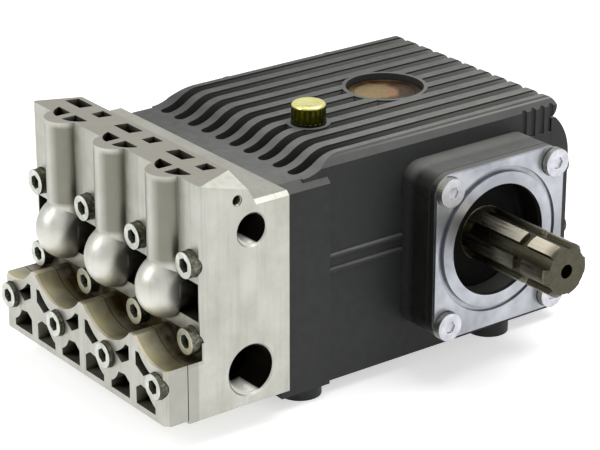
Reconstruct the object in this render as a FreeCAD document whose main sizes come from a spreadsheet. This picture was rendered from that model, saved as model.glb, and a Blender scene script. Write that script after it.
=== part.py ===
import FreeCAD, Part
import Sketcher
import os
import re
from math import atan2, degrees, pi, sqrt

# Triplex plunger pump: a finned crankcase with a splined drive shaft on its right and a
# nickel-plated head bolted to its front.
# +X is the right-hand side, where the shaft comes out, +Y is the back and +Z is up.
# The origin is on the floor, at the centre of the four feet.

doc = FreeCAD.newDocument("plunger_pump")
sheet = doc.addObject("Spreadsheet::Sheet", "Sizes")

SIZES = [
    # feet
    ("foot_height", 9, "from the floor to the underside of the crankcase"),
    ("foot_radius", 13.5, "radius of a foot"),
    ("foot_root", 2, "how far a foot reaches up into the crankcase"),
    ("foot_span_across", 131, "centre distance of the feet along X"),
    ("foot_span_along", 152, "centre distance of the feet along Y"),
    ("foot_hole_radius", 4.25, "tapping radius of an M10 thread"),
    ("foot_hole_depth", 24, "depth of the tapped holes from the floor"),
    # crankcase
    ("case_width", 158.5, "width of the crankcase"),
    ("case_front", -102, "Y of the joint between head and crankcase"),
    ("case_length", 214.4, "length of the crankcase casting"),
    ("case_top", 146, "height of the flat shelf in front of the finned deck"),
    ("flange_step", 3.25, "how far the front flange stands out on each side of the case"),
    ("flange_length", 36, "length of the front flange along Y"),
    ("flange_edge", 5.5, "bevel along the top sides of the front flange"),
    ("bead_radius", 2, "radius of the two beads along each side"),
    ("upper_bead_height", 91.5, "height of the upper bead"),
    ("lower_bead_height", 82.5, "height of the lower bead"),
    ("flute_radius", 2.4, "radius of the flutes at the rear corners"),
    ("flute_pitch", 7.4, "distance from flute to flute"),
    ("flute_count", 4, "number of flutes at each rear corner"),
    ("flute_back", 191.5, "from the head joint to the first flute"),
    ("flute_bottom", 132, "height of the lower end of the flutes"),
    # finned deck
    ("fin_top", 155.5, "height of the fins"),
    ("fin_pitch", 14.8, "distance from fin to fin"),
    ("groove_count", 10, "number of grooves between the fins"),
    ("groove_width", 8, "width of a groove"),
    ("groove_floor", 142.5, "height of the floor of the grooves"),
    ("groove_start", 17, "from the head joint to the rounded front end of the grooves"),
    ("deck_start", 18, "from the head joint to the foot of the deck's rise"),
    ("deck_rise", 30, "length over which the deck rises"),
    ("deck_overhang", 4.4, "how far the deck's rounded rear end reaches past the case"),
    ("deck_edge_width", 4.5, "width of the bevel along the deck's sides"),
    ("deck_edge_height", 6, "height of the bevel along the deck's sides"),
    # crankshaft line and bearing bosses
    ("crank_back", 142, "from the head joint to the crankshaft axis"),
    ("crank_height", 88, "height of the crankshaft axis"),
    ("boss_width", 102, "width of the bearing bosses along Y"),
    ("boss_height", 108, "height of the bearing bosses"),
    ("boss_shift", 2, "from the crankshaft axis back to the middle of the bosses"),
    ("boss_drop", 3, "from the crankshaft axis down to the middle of the bosses"),
    ("boss_corner", 13, "corner radius of the bearing bosses"),
    ("boss_reach", 105, "from the middle plane to the face of a boss"),
    ("gasket", 0.6, "thickness of the flat gaskets"),
    ("housing_thickness", 7, "thickness of the bearing housing's square plate"),
    ("ring_height", 1, "height of the raised ring on the plate"),
    ("ring_radius", 43.5, "outer radius of the raised ring"),
    ("ring_groove_width", 3.5, "width of the groove round the raised ring"),
    ("ring_groove_depth", 1.5, "depth of the groove round the raised ring"),
    ("bearing_radius", 36, "bore radius of the bearing housing"),
    ("bearing_shoulder", 6, "height of the shoulder behind the bearing"),
    ("bearing_shoulder_width", 4, "width of the shoulder behind the bearing"),
    ("spigot_wall", 6, "wall of the housing's spigot"),
    ("spigot_length", 39, "length of the spigot inside the crankcase"),
    ("blind_spigot_length", 14, "length of the blind cover's spigot"),
    ("spigot_clearance", 0.1, "radial clearance of the spigots in the crankcase"),
    ("screw_span_along", 84, "centre distance of the corner screws along Y"),
    ("screw_span_up", 88, "centre distance of the corner screws along Z"),
    ("screw_seat_radius", 9.5, "radius of the seats of the corner screws"),
    ("screw_seat_depth", 1.5, "depth of the seats of the corner screws"),
    # shaft
    ("shaft_radius", 17.4, "outer radius of the 1 3/8 inch splined end"),
    ("journal_radius", 17.5, "radius of the shaft in bearing and seal"),
    ("shaft_end", 175, "X of the shaft's free end"),
    ("spline_length", 76, "length of the splines"),
    ("spline_root", 14.5, "root radius of the splines"),
    ("spline_width", 8.6, "width of a spline"),
    ("spline_count", 6, "number of splines"),
    ("lock_groove_back", 25.5, "from the shaft end to the middle of the lock groove"),
    ("lock_groove_width", 7, "width of the lock groove"),
    ("shaft_bevel", 2.4, "bevel at the shaft end"),
    ("shaft_start", 62, "X of the shaft's inner end"),
    ("shaft_well_radius", 24, "radius of the well behind the bearing"),
    ("well_gap", 6, "from the shaft's inner end to the end of the well"),
    ("centre_hole_radius", 4.5, "radius of the centre hole in the shaft end"),
    ("centre_hole_depth", 12, "depth of the centre hole in the shaft end"),
    ("running_gap", 0.05, "radial running clearance round the shaft"),
    ("bearing_width", 17, "width of the shaft bearing"),
    ("seal_width", 9, "width of the shaft seal"),
    ("seal_depth", 17, "from the housing face to the seal"),
    ("seat_gap", 0.05, "radial clearance of what sits in a hole"),
    # rear cover
    ("cover_thickness", 15, "thickness of the rear cover"),
    ("cover_top", 141, "height of the rear cover's top edge"),
    ("cover_round", 36, "radius of the rear cover's upper slope"),
    ("cover_slope", 27, "height of the rear cover's upper slope"),
    ("cover_foot_round", 8, "radius of the rear cover's lower edge"),
    ("glass_height", 84, "height of the oil level glass"),
    ("glass_radius", 12, "radius of the oil level glass"),
    ("glass_thickness", 5, "thickness of the oil level glass"),
    ("glass_frame_radius", 16, "outer radius of the ring round the glass"),
    ("glass_frame_height", 3, "height of the ring round the glass"),
    ("glass_frame_lip", 2, "how far the ring reaches over the glass"),
    ("drain_height", 38, "height of the oil drain plug"),
    ("drain_radius", 8, "thread radius of the drain plug"),
    ("drain_head_radius", 12, "corner radius of the drain plug's hexagon"),
    ("drain_head_height", 7, "height of the drain plug's hexagon"),
    ("washer", 1.5, "thickness of the plugs' washers"),
    # top
    ("filler_right", 24, "X of the oil filler plug"),
    ("filler_back", 64, "from the head joint to the filler plug"),
    ("filler_radius", 11, "radius of the filler plug's head"),
    ("filler_height", 11.5, "height of the filler plug's head"),
    ("filler_boss_radius", 13.5, "radius of the boss under the filler plug"),
    ("filler_thread_radius", 8, "thread radius of the filler plug"),
    ("filler_hole_depth", 18, "depth of the filler hole"),
    ("plate_back", 143, "from the head joint to the middle of the round plate"),
    ("plate_radius", 24, "radius of the round plate"),
    ("plate_thickness", 1.2, "thickness of the round plate"),
    ("plate_gap", 1, "gap round the round plate"),
    ("plate_rim", 3.5, "width of the rim round the plate and its gap"),
    ("plate_recess", 5, "depth of the recess that holds the round plate"),
    # head
    ("head_width", 180, "width of the head"),
    ("head_depth", 63, "from the head joint to the screw lands"),
    ("head_bottom", 18, "height of the head's underside"),
    ("head_top", 164, "height of the head's ribbed top"),
    ("ledge_height", 146.5, "height of the ledge behind the ribbed top"),
    ("crown_depth", 28.5, "depth of the ribbed top along Y"),
    ("crown_slope", 9.5, "depth of the slope behind the ribbed top"),
    ("shoulder_width", 12, "width of the slanted end of the ribbed top at its rear"),
    ("shoulder_height", 8, "height of the slanted end of the ribbed top at its rear"),
    ("ledge_edge", 2.5, "bevel along the sides of the ledge"),
    ("front_edge", 2, "bevel along the head's front corners"),
    ("port_edge", 1.6, "bevel round the ports"),
    ("plunger_pitch", 55, "distance from plunger to plunger"),
    ("barrel_radius", 13, "radius of the upright valve barrels"),
    ("barrel_back", 2, "from the screw lands back to the barrels' axes"),
    ("dome_height", 92.5, "height of the domed valve chambers"),
    ("dome_radius", 20.5, "radius of the domed ends of the valve chambers"),
    ("dome_side", 13.6, "from the middle of a dome to its flat sides"),
    ("dome_back", 0.5, "from the screw lands back to the domes' centres"),
    ("chamber_radius", 14.5, "radius of the valve chambers in the recess"),
    ("recess_bottom", 79, "height of the bottom of the front recess"),
    ("recess_top", 103, "height of the top of the front recess"),
    ("recess_depth", 24, "depth of the front recess"),
    ("end_wall", 3, "thickness of the head's end walls beside the recess"),
    ("upper_screw_height", 114.5, "height of the upper head screws"),
    ("lower_screw_height", 66.5, "height of the lower head screws"),
    ("outer_screw_span", 162, "centre distance of the outermost screws"),
    ("head_screw_seat", 8.5, "radius of the seats of the head screws"),
    ("head_seat_depth", 4, "depth of the seats of the head screws"),
    ("leg_depth", 10, "how far the leg stands out in front of the lands"),
    ("leg_top", 67, "height of the crests between the wrench channels"),
    ("leg_floor", 55, "height of the lowest line of the wrench channels"),
    ("channel_radius", 32, "radius of the wrench channels"),
    ("suction_plate_depth", 15, "thickness of the suction plate"),
    ("suction_plate_bottom", 20, "height of the suction plate's underside"),
    ("leg_screw_height", 44, "height of the suction plate's screws"),
    ("plate_seat_depth", 6.5, "depth of the seats of the suction plate's screws"),
    ("plate_edge", 3, "bevel along the suction plate's front corners"),
    # lattice of pockets in the head's top and in the suction plate
    ("lattice_depth", 11, "depth of the pockets"),
    ("rear_pocket_back", 38, "from the head joint forward to the rear row of top pockets"),
    ("rear_pocket_length", 8.5, "length of the rear top pockets along Y"),
    ("wide_pocket_left", 23.5, "from the plunger to the wide pocket's left end"),
    ("wide_pocket_right", 4.5, "from the plunger to the wide pocket's right end"),
    ("small_pocket_left", 6.5, "from the plunger to the small pocket's left end"),
    ("small_pocket_right", 17, "from the plunger to the small pocket's right end"),
    ("pocket_slant", 2, "slant of the pockets' ends"),
    ("front_pocket_back", 55.3, "from the head joint forward to the front row of top pockets"),
    ("front_pocket_length", 10, "length of the front top pockets along Y"),
    ("top_web", 5.5, "web between the two front pockets over a plunger"),
    ("moon_reach", 16, "from the plunger to the outer tip of a front pocket"),
    ("moon_radius", 14, "radius of the front pockets' outer wall"),
    ("plate_web", 7, "upright web between the suction plate's pockets"),
    ("upper_pocket_reach", 18.5, "from the web's middle to the outer tip of an upper pocket"),
    ("upper_pocket_low", 44.4, "height of the lower corner of the upper pockets"),
    ("pocket_wall", 3.5, "wall between the wrench channels and the pockets"),
    ("lower_pocket_bottom", 24, "height of the bottom of the lower pockets"),
    ("lower_pocket_top", 38, "height of the top of the lower pockets"),
    ("lower_pocket_flat", 5, "from the web to the peak of a lower pocket"),
    ("lower_pocket_fall", 1, "from the peak of a lower pocket down to its outer corner"),
    ("upper_pocket_rise", 5, "from the leg screws up to the corners of the upper pockets"),
    ("upper_pocket_top", 58, "height of the top of the upper pockets"),
    ("lower_pocket_reach", 23.5, "from the web's middle to the outer tip of a lower pocket"),
    ("screw_wall_radius", 12, "radius of the pockets' wall round a screw"),
    ("outlet_back", 26.8, "from the head joint forward to the outlet's axis"),
    ("outlet_height", 129, "height of the outlet's axis"),
    ("outlet_radius", 9.3, "tapping radius of the G1/2 outlet"),
    ("outlet_depth", 24, "depth of the outlet"),
    ("inlet_back", 28, "from the head joint forward to the inlet's axis"),
    ("inlet_height", 40, "height of the inlet's axis"),
    ("inlet_radius", 15.1, "tapping radius of the G1 inlet"),
    ("inlet_depth", 28, "depth of the inlet"),
    ("gauge_back", 37, "from the head joint forward to the gauge hole"),
    ("gauge_height", 149.5, "height of the gauge hole"),
    ("gauge_radius", 3.4, "tapping radius of the M8 gauge hole"),
    ("gauge_depth", 16, "depth of the gauge hole"),
]

for row, (alias, value, note) in enumerate(SIZES, start=1):
    sheet.set("A%d" % row, note)
    sheet.set("B%d" % row, str(value))
    sheet.setAlias("B%d" % row, alias)
doc.recompute()
ALIASES = {entry[0] for entry in SIZES}


def cells(text):
    """Expression text with each size's name pointing at its cell."""
    return re.sub(r"[a-z_]+", lambda word: "Sizes." + word[0] if word[0] in ALIASES else word[0], text)


def size(text):
    """The number that an expression gives now."""
    return float(sheet.evalExpression(cells(text)))


def bind(thing, **formulas):
    """Tie properties to the sheet; a double underscore stands for a dot."""
    for name, formula in formulas.items():
        thing.setExpression(name.replace("__", "."), cells(formula))


def place(thing, right, back, up, axis=(0, 0, 1), angle=0):
    """Put a primitive at expressions of the sheet, turned about an axis."""
    turn = FreeCAD.Rotation(FreeCAD.Vector(*axis), angle)
    thing.Placement = FreeCAD.Placement(FreeCAD.Vector(), turn)
    bind(thing, Placement__Base__x=right, Placement__Base__y=back, Placement__Base__z=up)


def new_body(name):
    body = doc.addObject("PartDesign::Body", name)
    body.Label = name
    return body


def origin_item(body, role):
    return [item for item in body.Origin.OriginFeatures if item.Role == role][0]


def new_sketch(body, name, role, lift):
    sketch = body.newObject("Sketcher::SketchObject", name)
    sketch.AttachmentSupport = [(origin_item(body, role), "")]
    sketch.MapMode = "FlatFace"
    bind(sketch, AttachmentOffset__Base__z=lift)
    return sketch


def pin_point(sketch, item, end, across, up, label):
    """Hold one point of a sketch at two expressions of the sheet."""
    for kind, letter, formula in (("DistanceX", "x", across), ("DistanceY", "y", up)):
        index = sketch.addConstraint(Sketcher.Constraint(kind, -1, 1, item, end, size(formula)))
        sketch.renameConstraint(index, label + letter)
        sketch.setExpression("Constraints." + label + letter, cells(formula))


def curve_between(start, finish, radius, side):
    """Minor arc from start to finish, its centre to the left (side 1) or right (-1)."""
    chord = finish - start
    rise = sqrt(max(radius ** 2 - (chord.Length / 2) ** 2, 0))
    normal = FreeCAD.Vector(-chord.y, chord.x, 0).normalize()
    centre = (start + finish) / 2 + normal * rise * side
    first, last = (start, finish) if side > 0 else (finish, start)
    circle = Part.Circle(centre, FreeCAD.Vector(0, 0, 1), radius)
    begin = atan2(first.y - centre.y, first.x - centre.x)
    end = atan2(last.y - centre.y, last.x - centre.x)
    return Part.ArcOfCircle(circle, begin, end if end > begin else end + 2 * pi)


def outline(sketch, points, label="p"):
    """Closed outline through (across, up) points; (across, up, radius, side) is reached by an arc."""
    spots = [FreeCAD.Vector(size(point[0]), size(point[1]), 0) for point in points]
    count = len(points)
    ends = []
    for index in range(count):
        target = points[(index + 1) % count]
        start, finish = spots[index], spots[(index + 1) % count]
        if len(target) == 4:
            item = sketch.addGeometry(curve_between(start, finish, size(target[2]), target[3]))
            ends.append((item, 1, 2) if target[3] > 0 else (item, 2, 1))
        else:
            item = sketch.addGeometry(Part.LineSegment(start, finish))
            ends.append((item, 1, 2))
    for index in range(count):
        item, begin, end = ends[index]
        follower = ends[(index + 1) % count]
        sketch.addConstraint(Sketcher.Constraint("Coincident", item, end, follower[0], follower[1]))
        pin_point(sketch, item, begin, points[index][0], points[index][1], "%s%d" % (label, index))
        target = points[(index + 1) % count]
        if len(target) == 4:
            name = "%s%dr" % (label, index)
            number = sketch.addConstraint(Sketcher.Constraint("Radius", item, size(target[2])))
            sketch.renameConstraint(number, name)
            sketch.setExpression("Constraints." + name, cells(target[2]))
    return sketch


def ring(sketch, across, up, radius, label):
    """Circle with its centre and radius held by the sheet."""
    centre = FreeCAD.Vector(size(across), size(up), 0)
    item = sketch.addGeometry(Part.Circle(centre, FreeCAD.Vector(0, 0, 1), size(radius)))
    pin_point(sketch, item, 3, across, up, label)
    number = sketch.addConstraint(Sketcher.Constraint("Radius", item, size(radius)))
    sketch.renameConstraint(number, label + "r")
    sketch.setExpression("Constraints." + label + "r", cells(radius))
    return sketch


def extrude(body, kind, sketch, length, both=False, reverse=False):
    """Pad or Pocket of a sketch; a pocket has to take something away."""
    before = body.Shape.Volume if kind == "Pocket" else 0
    feature = body.newObject("PartDesign::" + kind, sketch.Name + "_" + kind.lower())
    feature.Profile = sketch
    feature.Midplane = both
    feature.Reversed = reverse
    bind(feature, Length=length)
    doc.recompute()
    if kind == "Pocket" and body.Shape.Volume > before - 0.1:
        raise RuntimeError(feature.Name + " takes nothing away")
    return feature


def block(body, name, low, high):
    """Added box between two corners, each three expressions."""
    box = body.newObject("PartDesign::AdditiveBox", name)
    bind(box, Length="(%s) - (%s)" % (high[0], low[0]))
    bind(box, Width="(%s) - (%s)" % (high[1], low[1]), Height="(%s) - (%s)" % (high[2], low[2]))
    place(box, *low)
    return box


def hollow(body, name, low, high):
    """Removed box between two corners, each three expressions."""
    box = body.newObject("PartDesign::SubtractiveBox", name)
    bind(box, Length="(%s) - (%s)" % (high[0], low[0]))
    bind(box, Width="(%s) - (%s)" % (high[1], low[1]), Height="(%s) - (%s)" % (high[2], low[2]))
    place(box, *low)
    return box


TURNS = {"+X": ((0, 1, 0), 90), "-X": ((0, 1, 0), -90), "+Y": ((1, 0, 0), -90), "-Y": ((1, 0, 0), 90),
         "+Z": ((0, 0, 1), 0), "-Z": ((1, 0, 0), 180)}


def rod(body, kind, name, spot, towards, radius, length):
    """Additive or Subtractive cylinder from a spot in a direction."""
    cylinder = body.newObject("PartDesign::%sCylinder" % kind, name)
    bind(cylinder, Radius=radius, Height=length)
    axis, angle = TURNS[towards]
    place(cylinder, spot[0], spot[1], spot[2], axis, angle)
    return cylinder


def repeat(body, name, features, count, span):
    """Copies of features along X, over a span."""
    doc.recompute()
    pattern = body.newObject("PartDesign::LinearPattern", name)
    pattern.Originals = features
    pattern.Direction = (origin_item(body, "X_Axis"), [""])
    bind(pattern, Occurrences=count, Length=span)
    body.Tip = pattern
    doc.recompute()
    return pattern


def edges_at(shape, test):
    """Names of the edges whose middle passes a test of (x, y, z) and direction."""
    names = []
    for index, edge in enumerate(shape.Edges, start=1):
        middle = edge.valueAt((edge.FirstParameter + edge.LastParameter) / 2)
        if test(middle, edge):
            names.append("Edge%d" % index)
    return names


def soften(body, kind, name, test, **sizes):
    """Fillet or Chamfer on the edges of the body's tip that pass a test."""
    doc.recompute()
    base = body.Tip
    feature = body.newObject("PartDesign::" + kind, name)
    feature.Base = (base, edges_at(base.Shape, test))
    bind(feature, **sizes)
    doc.recompute()
    return feature


def revolve_x(body, name, points):
    """Solid turned about the X axis from (x, radius) points, then placed by its body."""
    sketch = outline(new_sketch(body, name + "_profile", "XY_Plane", "0"), points)
    turn = body.newObject("PartDesign::Revolution", name)
    turn.Profile = sketch
    turn.ReferenceAxis = (origin_item(body, "X_Axis"), [""])
    turn.Angle = 360
    doc.recompute()
    return turn


def set_on_crank(body):
    """Put a body that was turned about X on the crankshaft axis."""
    bind(body, Placement__Base__y="case_front + crank_back", Placement__Base__z="crank_height")


CRANK_Y = "case_front + crank_back"
CASE_BACK = "case_front + case_length"
HEAD_FRONT = "case_front - head_depth"
HOUSING_FACE = "boss_reach + gasket + housing_thickness + ring_height"
SPIGOT_HOLE = "bearing_radius + spigot_wall + spigot_clearance"
BEARING_DEPTH = "housing_thickness + ring_height + spigot_length - bearing_shoulder_width"


def rounded_block(sketch, middle, up):
    """Outline of a bearing boss, with round corners, about its middle."""
    points = []
    for sign_a, sign_b, turn in ((1, -1, 0), (1, 1, 1), (-1, 1, 0), (-1, -1, 1)):
        on_side = (sign_a, "boss_width / 2", sign_b, "(boss_height / 2 - boss_corner)")
        on_end = (sign_a, "(boss_width / 2 - boss_corner)", sign_b, "boss_height / 2")
        first, second = (on_end, on_side) if turn == 0 else (on_side, on_end)
        for number, (sa, a, sb, b) in enumerate((first, second)):
            across = "%s %s %s" % (middle, "+" if sa > 0 else "-", a)
            height = "%s %s %s" % (up, "+" if sb > 0 else "-", b)
            points.append((across, height) if number == 0 else (across, height, "boss_corner", 1))
    return outline(sketch, points)


# crankcase: one casting with feet, a front flange, side ribs, square bosses and fins
def make_crankcase():
    body = new_body("crankcase")
    half = "case_width / 2"
    block(body, "case_block", ("-" + half, "case_front", "foot_height"),
          (half, CASE_BACK, "case_top"))
    block(body, "front_flange", ("-%s - flange_step" % half, "case_front", "foot_height"),
          (half + " + flange_step", "case_front + flange_length", "case_top"))
    soften(body, "Chamfer", "flange_bevels",
           lambda p, e: abs(p.z - size("case_top")) < 0.01
           and abs(abs(p.x) - size(half + " + flange_step")) < 0.01, Size="flange_edge")
    square = new_sketch(body, "boss_square", "YZ_Plane", "0")
    rounded_block(square, CRANK_Y + " + boss_shift", "crank_height - boss_drop")
    extrude(body, "Pad", square, "2 * boss_reach", both=True)
    for side, sign in (("left", "-"), ("right", "")):
        for level in ("upper", "lower"):
            rod(body, "Additive", "%s_bead_%s" % (level, side),
                (sign + half, "case_front + flange_length / 2", level + "_bead_height"),
                "+Y", "bead_radius", "crank_back - flange_length / 2")
    section = new_sketch(body, "deck_section", "YZ_Plane", "0")
    swing = "(deck_rise ^ 2 + (fin_top - case_top) ^ 2) / (4 * (fin_top - case_top))"
    nose = "(fin_top - cover_top) / 2"
    outline(section, [
        ("case_front + deck_start", "cover_top"),
        ("%s + deck_overhang - %s" % (CASE_BACK, nose), "cover_top"),
        (CASE_BACK + " + deck_overhang", "cover_top + " + nose, nose, 1),
        ("%s + deck_overhang - %s" % (CASE_BACK, nose), "fin_top", nose, 1),
        ("case_front + deck_start + deck_rise", "fin_top"),
        ("case_front + deck_start + deck_rise / 2", "(case_top + fin_top) / 2", swing, 1),
        ("case_front + deck_start", "case_top", swing, -1),
    ])
    extrude(body, "Pad", section, "case_width", both=True)
    bevels = new_sketch(body, "deck_edges", "XZ_Plane", "-(%s + deck_overhang)" % CASE_BACK)
    for label, sign in (("w", "-"), ("e", "")):
        outline(bevels, [
            (sign + half, "fin_top - deck_edge_height"),
            ("%s(%s + 1)" % (sign, half), "fin_top - deck_edge_height"),
            ("%s(%s + 1)" % (sign, half), "fin_top + 1"),
            ("%s(%s - deck_edge_width)" % (sign, half), "fin_top + 1"),
            ("%s(%s - deck_edge_width)" % (sign, half), "fin_top"),
        ], label)
    extrude(body, "Pocket", bevels, "case_length + deck_overhang - deck_start", reverse=True)
    groove = new_sketch(body, "deck_groove", "XY_Plane", "fin_top + 1")
    left = "-fin_pitch * (groove_count - 1) / 2"
    start = "case_front + groove_start + groove_width / 2"
    outline(groove, [
        (left + " + groove_width / 2", CASE_BACK + " + deck_overhang + 1"),
        (left + " - groove_width / 2", CASE_BACK + " + deck_overhang + 1"),
        (left + " - groove_width / 2", start),
        (left, "case_front + groove_start", "groove_width / 2", 1),
        (left + " + groove_width / 2", start, "groove_width / 2", 1),
    ])
    cut = extrude(body, "Pocket", groove, "fin_top + 1 - groove_floor")
    repeat(body, "deck_grooves", [cut], "groove_count", "fin_pitch * (groove_count - 1)")
    for side, sign in (("left", "-"), ("right", "")):
        for number in range(int(size("flute_count"))):
            rod(body, "Subtractive", "flute_%s_%d" % (side, number + 1),
                ("%s(%s + flute_radius / 2)" % (sign, half),
                 "case_front + flute_back + flute_pitch * %d" % number, "flute_bottom"),
                "+Z", "flute_radius", "fin_top - flute_bottom")
    rod(body, "Additive", "filler_boss", ("filler_right", "case_front + filler_back", "cover_top"),
        "+Z", "filler_boss_radius", "fin_top - cover_top")
    rod(body, "Additive", "plate_pad", ("0", "case_front + plate_back", "cover_top"),
        "+Z", "plate_radius + plate_rim", "fin_top - cover_top")
    rod(body, "Subtractive", "plate_recess", ("0", "case_front + plate_back", "fin_top"),
        "-Z", "plate_radius + plate_gap", "plate_recess")
    rod(body, "Subtractive", "drive_bore", ("boss_reach", CRANK_Y, "crank_height"), "-X",
        SPIGOT_HOLE, "spigot_length - gasket + spigot_clearance")
    rod(body, "Subtractive", "shaft_well", ("boss_reach", CRANK_Y, "crank_height"), "-X",
        "shaft_well_radius", "boss_reach - shaft_start + well_gap")
    rod(body, "Subtractive", "blind_bore", ("-boss_reach", CRANK_Y, "crank_height"), "+X",
        SPIGOT_HOLE, "blind_spigot_length - gasket + spigot_clearance")
    rod(body, "Subtractive", "filler_hole", ("filler_right", "case_front + filler_back", "fin_top"),
        "-Z", "filler_thread_radius", "filler_hole_depth")
    for side, sign_x in (("left", "-"), ("right", "")):
        for end, sign_y in (("front", "-"), ("rear", "")):
            spot = (sign_x + "foot_span_across / 2", sign_y + "foot_span_along / 2")
            rod(body, "Additive", "foot_%s_%s" % (end, side), spot + ("0",), "+Z",
                "foot_radius", "foot_height + foot_root")
            rod(body, "Subtractive", "foot_hole_%s_%s" % (end, side), spot + ("0",), "+Z",
                "foot_hole_radius", "foot_hole_depth")
    doc.recompute()


# rear cover: a bulged lid with the oil level glass and the drain plug
def make_rear_cover():
    body = new_body("rear_cover")
    front = CASE_BACK + " + gasket"
    back = front + " + cover_thickness"
    side = new_sketch(body, "cover_section", "YZ_Plane", "0")
    outline(side, [
        (front, "foot_height"),
        (back + " - cover_foot_round", "foot_height"),
        (back, "foot_height + cover_foot_round", "cover_foot_round", 1),
        (back, "cover_top - cover_slope"),
        (back + " - cover_round + sqrt(cover_round ^ 2 - cover_slope ^ 2)", "cover_top", "cover_round", 1),
        (front, "cover_top"),
    ])
    extrude(body, "Pad", side, "case_width", both=True)
    rod(body, "Subtractive", "glass_seat", ("0", back, "glass_height"), "-Y",
        "glass_radius + seat_gap", "glass_thickness")
    rod(body, "Subtractive", "drain_hole", ("0", back, "drain_height"), "-Y",
        "drain_radius + seat_gap", "cover_thickness")
    doc.recompute()


def make_flat_gasket():
    body = new_body("rear_cover_gasket")
    block(body, "gasket_sheet", ("-case_width / 2", CASE_BACK, "foot_height"),
          ("case_width / 2", CASE_BACK + " + gasket", "cover_top"))
    rod(body, "Subtractive", "drain_hole", ("0", CASE_BACK + " + gasket", "drain_height"), "-Y",
        "drain_radius + seat_gap", "gasket")
    doc.recompute()


# drive side: gasket, bearing housing with its raised ring and spigot, bearing and seal
def square_plate(body, start, thickness):
    plate = new_sketch(body, body.Name + "_square", "YZ_Plane", start)
    rounded_block(plate, "boss_shift", "-boss_drop")
    extrude(body, "Pad", plate, thickness)
    set_on_crank(body)


def screw_seats(body, face, towards):
    for number, (sign_y, sign_z) in enumerate((("", ""), ("-", ""), ("-", "-"), ("", "-"))):
        rod(body, "Subtractive", "screw_seat_%d" % (number + 1),
            (face, "boss_shift + (%sscrew_span_along / 2)" % sign_y,
             "(%sscrew_span_up / 2) - boss_drop" % sign_z),
            towards, "screw_seat_radius", "screw_seat_depth")


def make_drive_side():
    gasket = new_body("drive_housing_gasket")
    square_plate(gasket, "boss_reach", "gasket")
    rod(gasket, "Subtractive", "gasket_hole", ("boss_reach", "0", "0"), "+X", SPIGOT_HOLE, "gasket")

    housing = new_body("drive_bearing_housing")
    square_plate(housing, "boss_reach + gasket", "housing_thickness")
    rod(housing, "Subtractive", "ring_groove", ("boss_reach + gasket + housing_thickness", "0", "0"),
        "-X", "ring_radius + ring_groove_width", "ring_groove_depth")
    rod(housing, "Additive", "raised_ring", ("boss_reach + gasket", "0", "0"), "+X",
        "ring_radius", "housing_thickness + ring_height")
    rod(housing, "Additive", "spigot", ("boss_reach + gasket", "0", "0"), "-X",
        "bearing_radius + spigot_wall", "spigot_length")
    rod(housing, "Subtractive", "bearing_bore", (HOUSING_FACE, "0", "0"), "-X",
        "bearing_radius", BEARING_DEPTH)
    rod(housing, "Subtractive", "shoulder_hole", (HOUSING_FACE, "0", "0"), "-X",
        "bearing_radius - bearing_shoulder", "housing_thickness + ring_height + spigot_length")
    screw_seats(housing, "boss_reach + gasket + housing_thickness", "-X")

    seal = new_body("shaft_seal")
    rod(seal, "Additive", "seal_ring", (HOUSING_FACE + " - seal_depth", "0", "0"), "-X",
        "bearing_radius - seat_gap", "seal_width")
    rod(seal, "Subtractive", "seal_lip", (HOUSING_FACE + " - seal_depth", "0", "0"), "-X",
        "journal_radius + running_gap", "seal_width")
    set_on_crank(seal)

    bearing = new_body("drive_bearing")
    start = HOUSING_FACE + " - seal_depth - seal_width"
    rod(bearing, "Additive", "bearing_ring", (start, "0", "0"), "-X",
        "bearing_radius - seat_gap", "bearing_width")
    rod(bearing, "Subtractive", "bearing_hole", (start, "0", "0"), "-X",
        "journal_radius + running_gap", "bearing_width")
    set_on_crank(bearing)
    doc.recompute()


# splined shaft: a turned shaft with six straight splines, a lock groove and a centre hole
def make_shaft():
    body = new_body("splined_shaft")
    groove_left = "shaft_end - lock_groove_back - lock_groove_width / 2"
    groove_right = "shaft_end - lock_groove_back + lock_groove_width / 2"
    revolve_x(body, "turned_shaft", [
        ("shaft_start", "0"),
        ("shaft_end", "0"),
        ("shaft_end", "shaft_radius - shaft_bevel"),
        ("shaft_end - shaft_bevel", "shaft_radius"),
        (groove_right, "shaft_radius"),
        (groove_right, "spline_root"),
        (groove_left, "spline_root"),
        (groove_left, "shaft_radius"),
        ("shaft_end - spline_length", "shaft_radius"),
        ("shaft_end - spline_length", "journal_radius"),
        ("shaft_start", "journal_radius"),
    ])
    flank = "sqrt(spline_root ^ 2 - (spline_width / 2) ^ 2)"
    turn = "180 / spline_count"
    root_y = "%s * cos(%s) + spline_width / 2 * sin(%s)" % (flank, turn, turn)
    root_z = "%s * sin(%s) - spline_width / 2 * cos(%s)" % (flank, turn, turn)
    rim_y = "(shaft_radius + 1) * cos(%s) + spline_width / 2 * sin(%s)" % (turn, turn)
    rim_z = "(shaft_radius + 1) * sin(%s) - spline_width / 2 * cos(%s)" % (turn, turn)
    gap = new_sketch(body, "spline_gap", "YZ_Plane", "shaft_end")
    outline(gap, [
        (root_z, root_y, "spline_root", -1),
        (rim_z, rim_y),
        ("-(%s)" % rim_z, rim_y),
        ("-(%s)" % root_z, root_y),
    ])
    cut = extrude(body, "Pocket", gap, "spline_length")
    pattern = body.newObject("PartDesign::PolarPattern", "spline_gaps")
    pattern.Originals = [cut]
    pattern.Axis = (origin_item(body, "X_Axis"), [""])
    pattern.Angle = 360
    bind(pattern, Occurrences="spline_count")
    body.Tip = pattern
    rod(body, "Subtractive", "centre_hole", ("shaft_end", "0", "0"), "-X",
        "centre_hole_radius", "centre_hole_depth")
    set_on_crank(body)
    doc.recompute()


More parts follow.
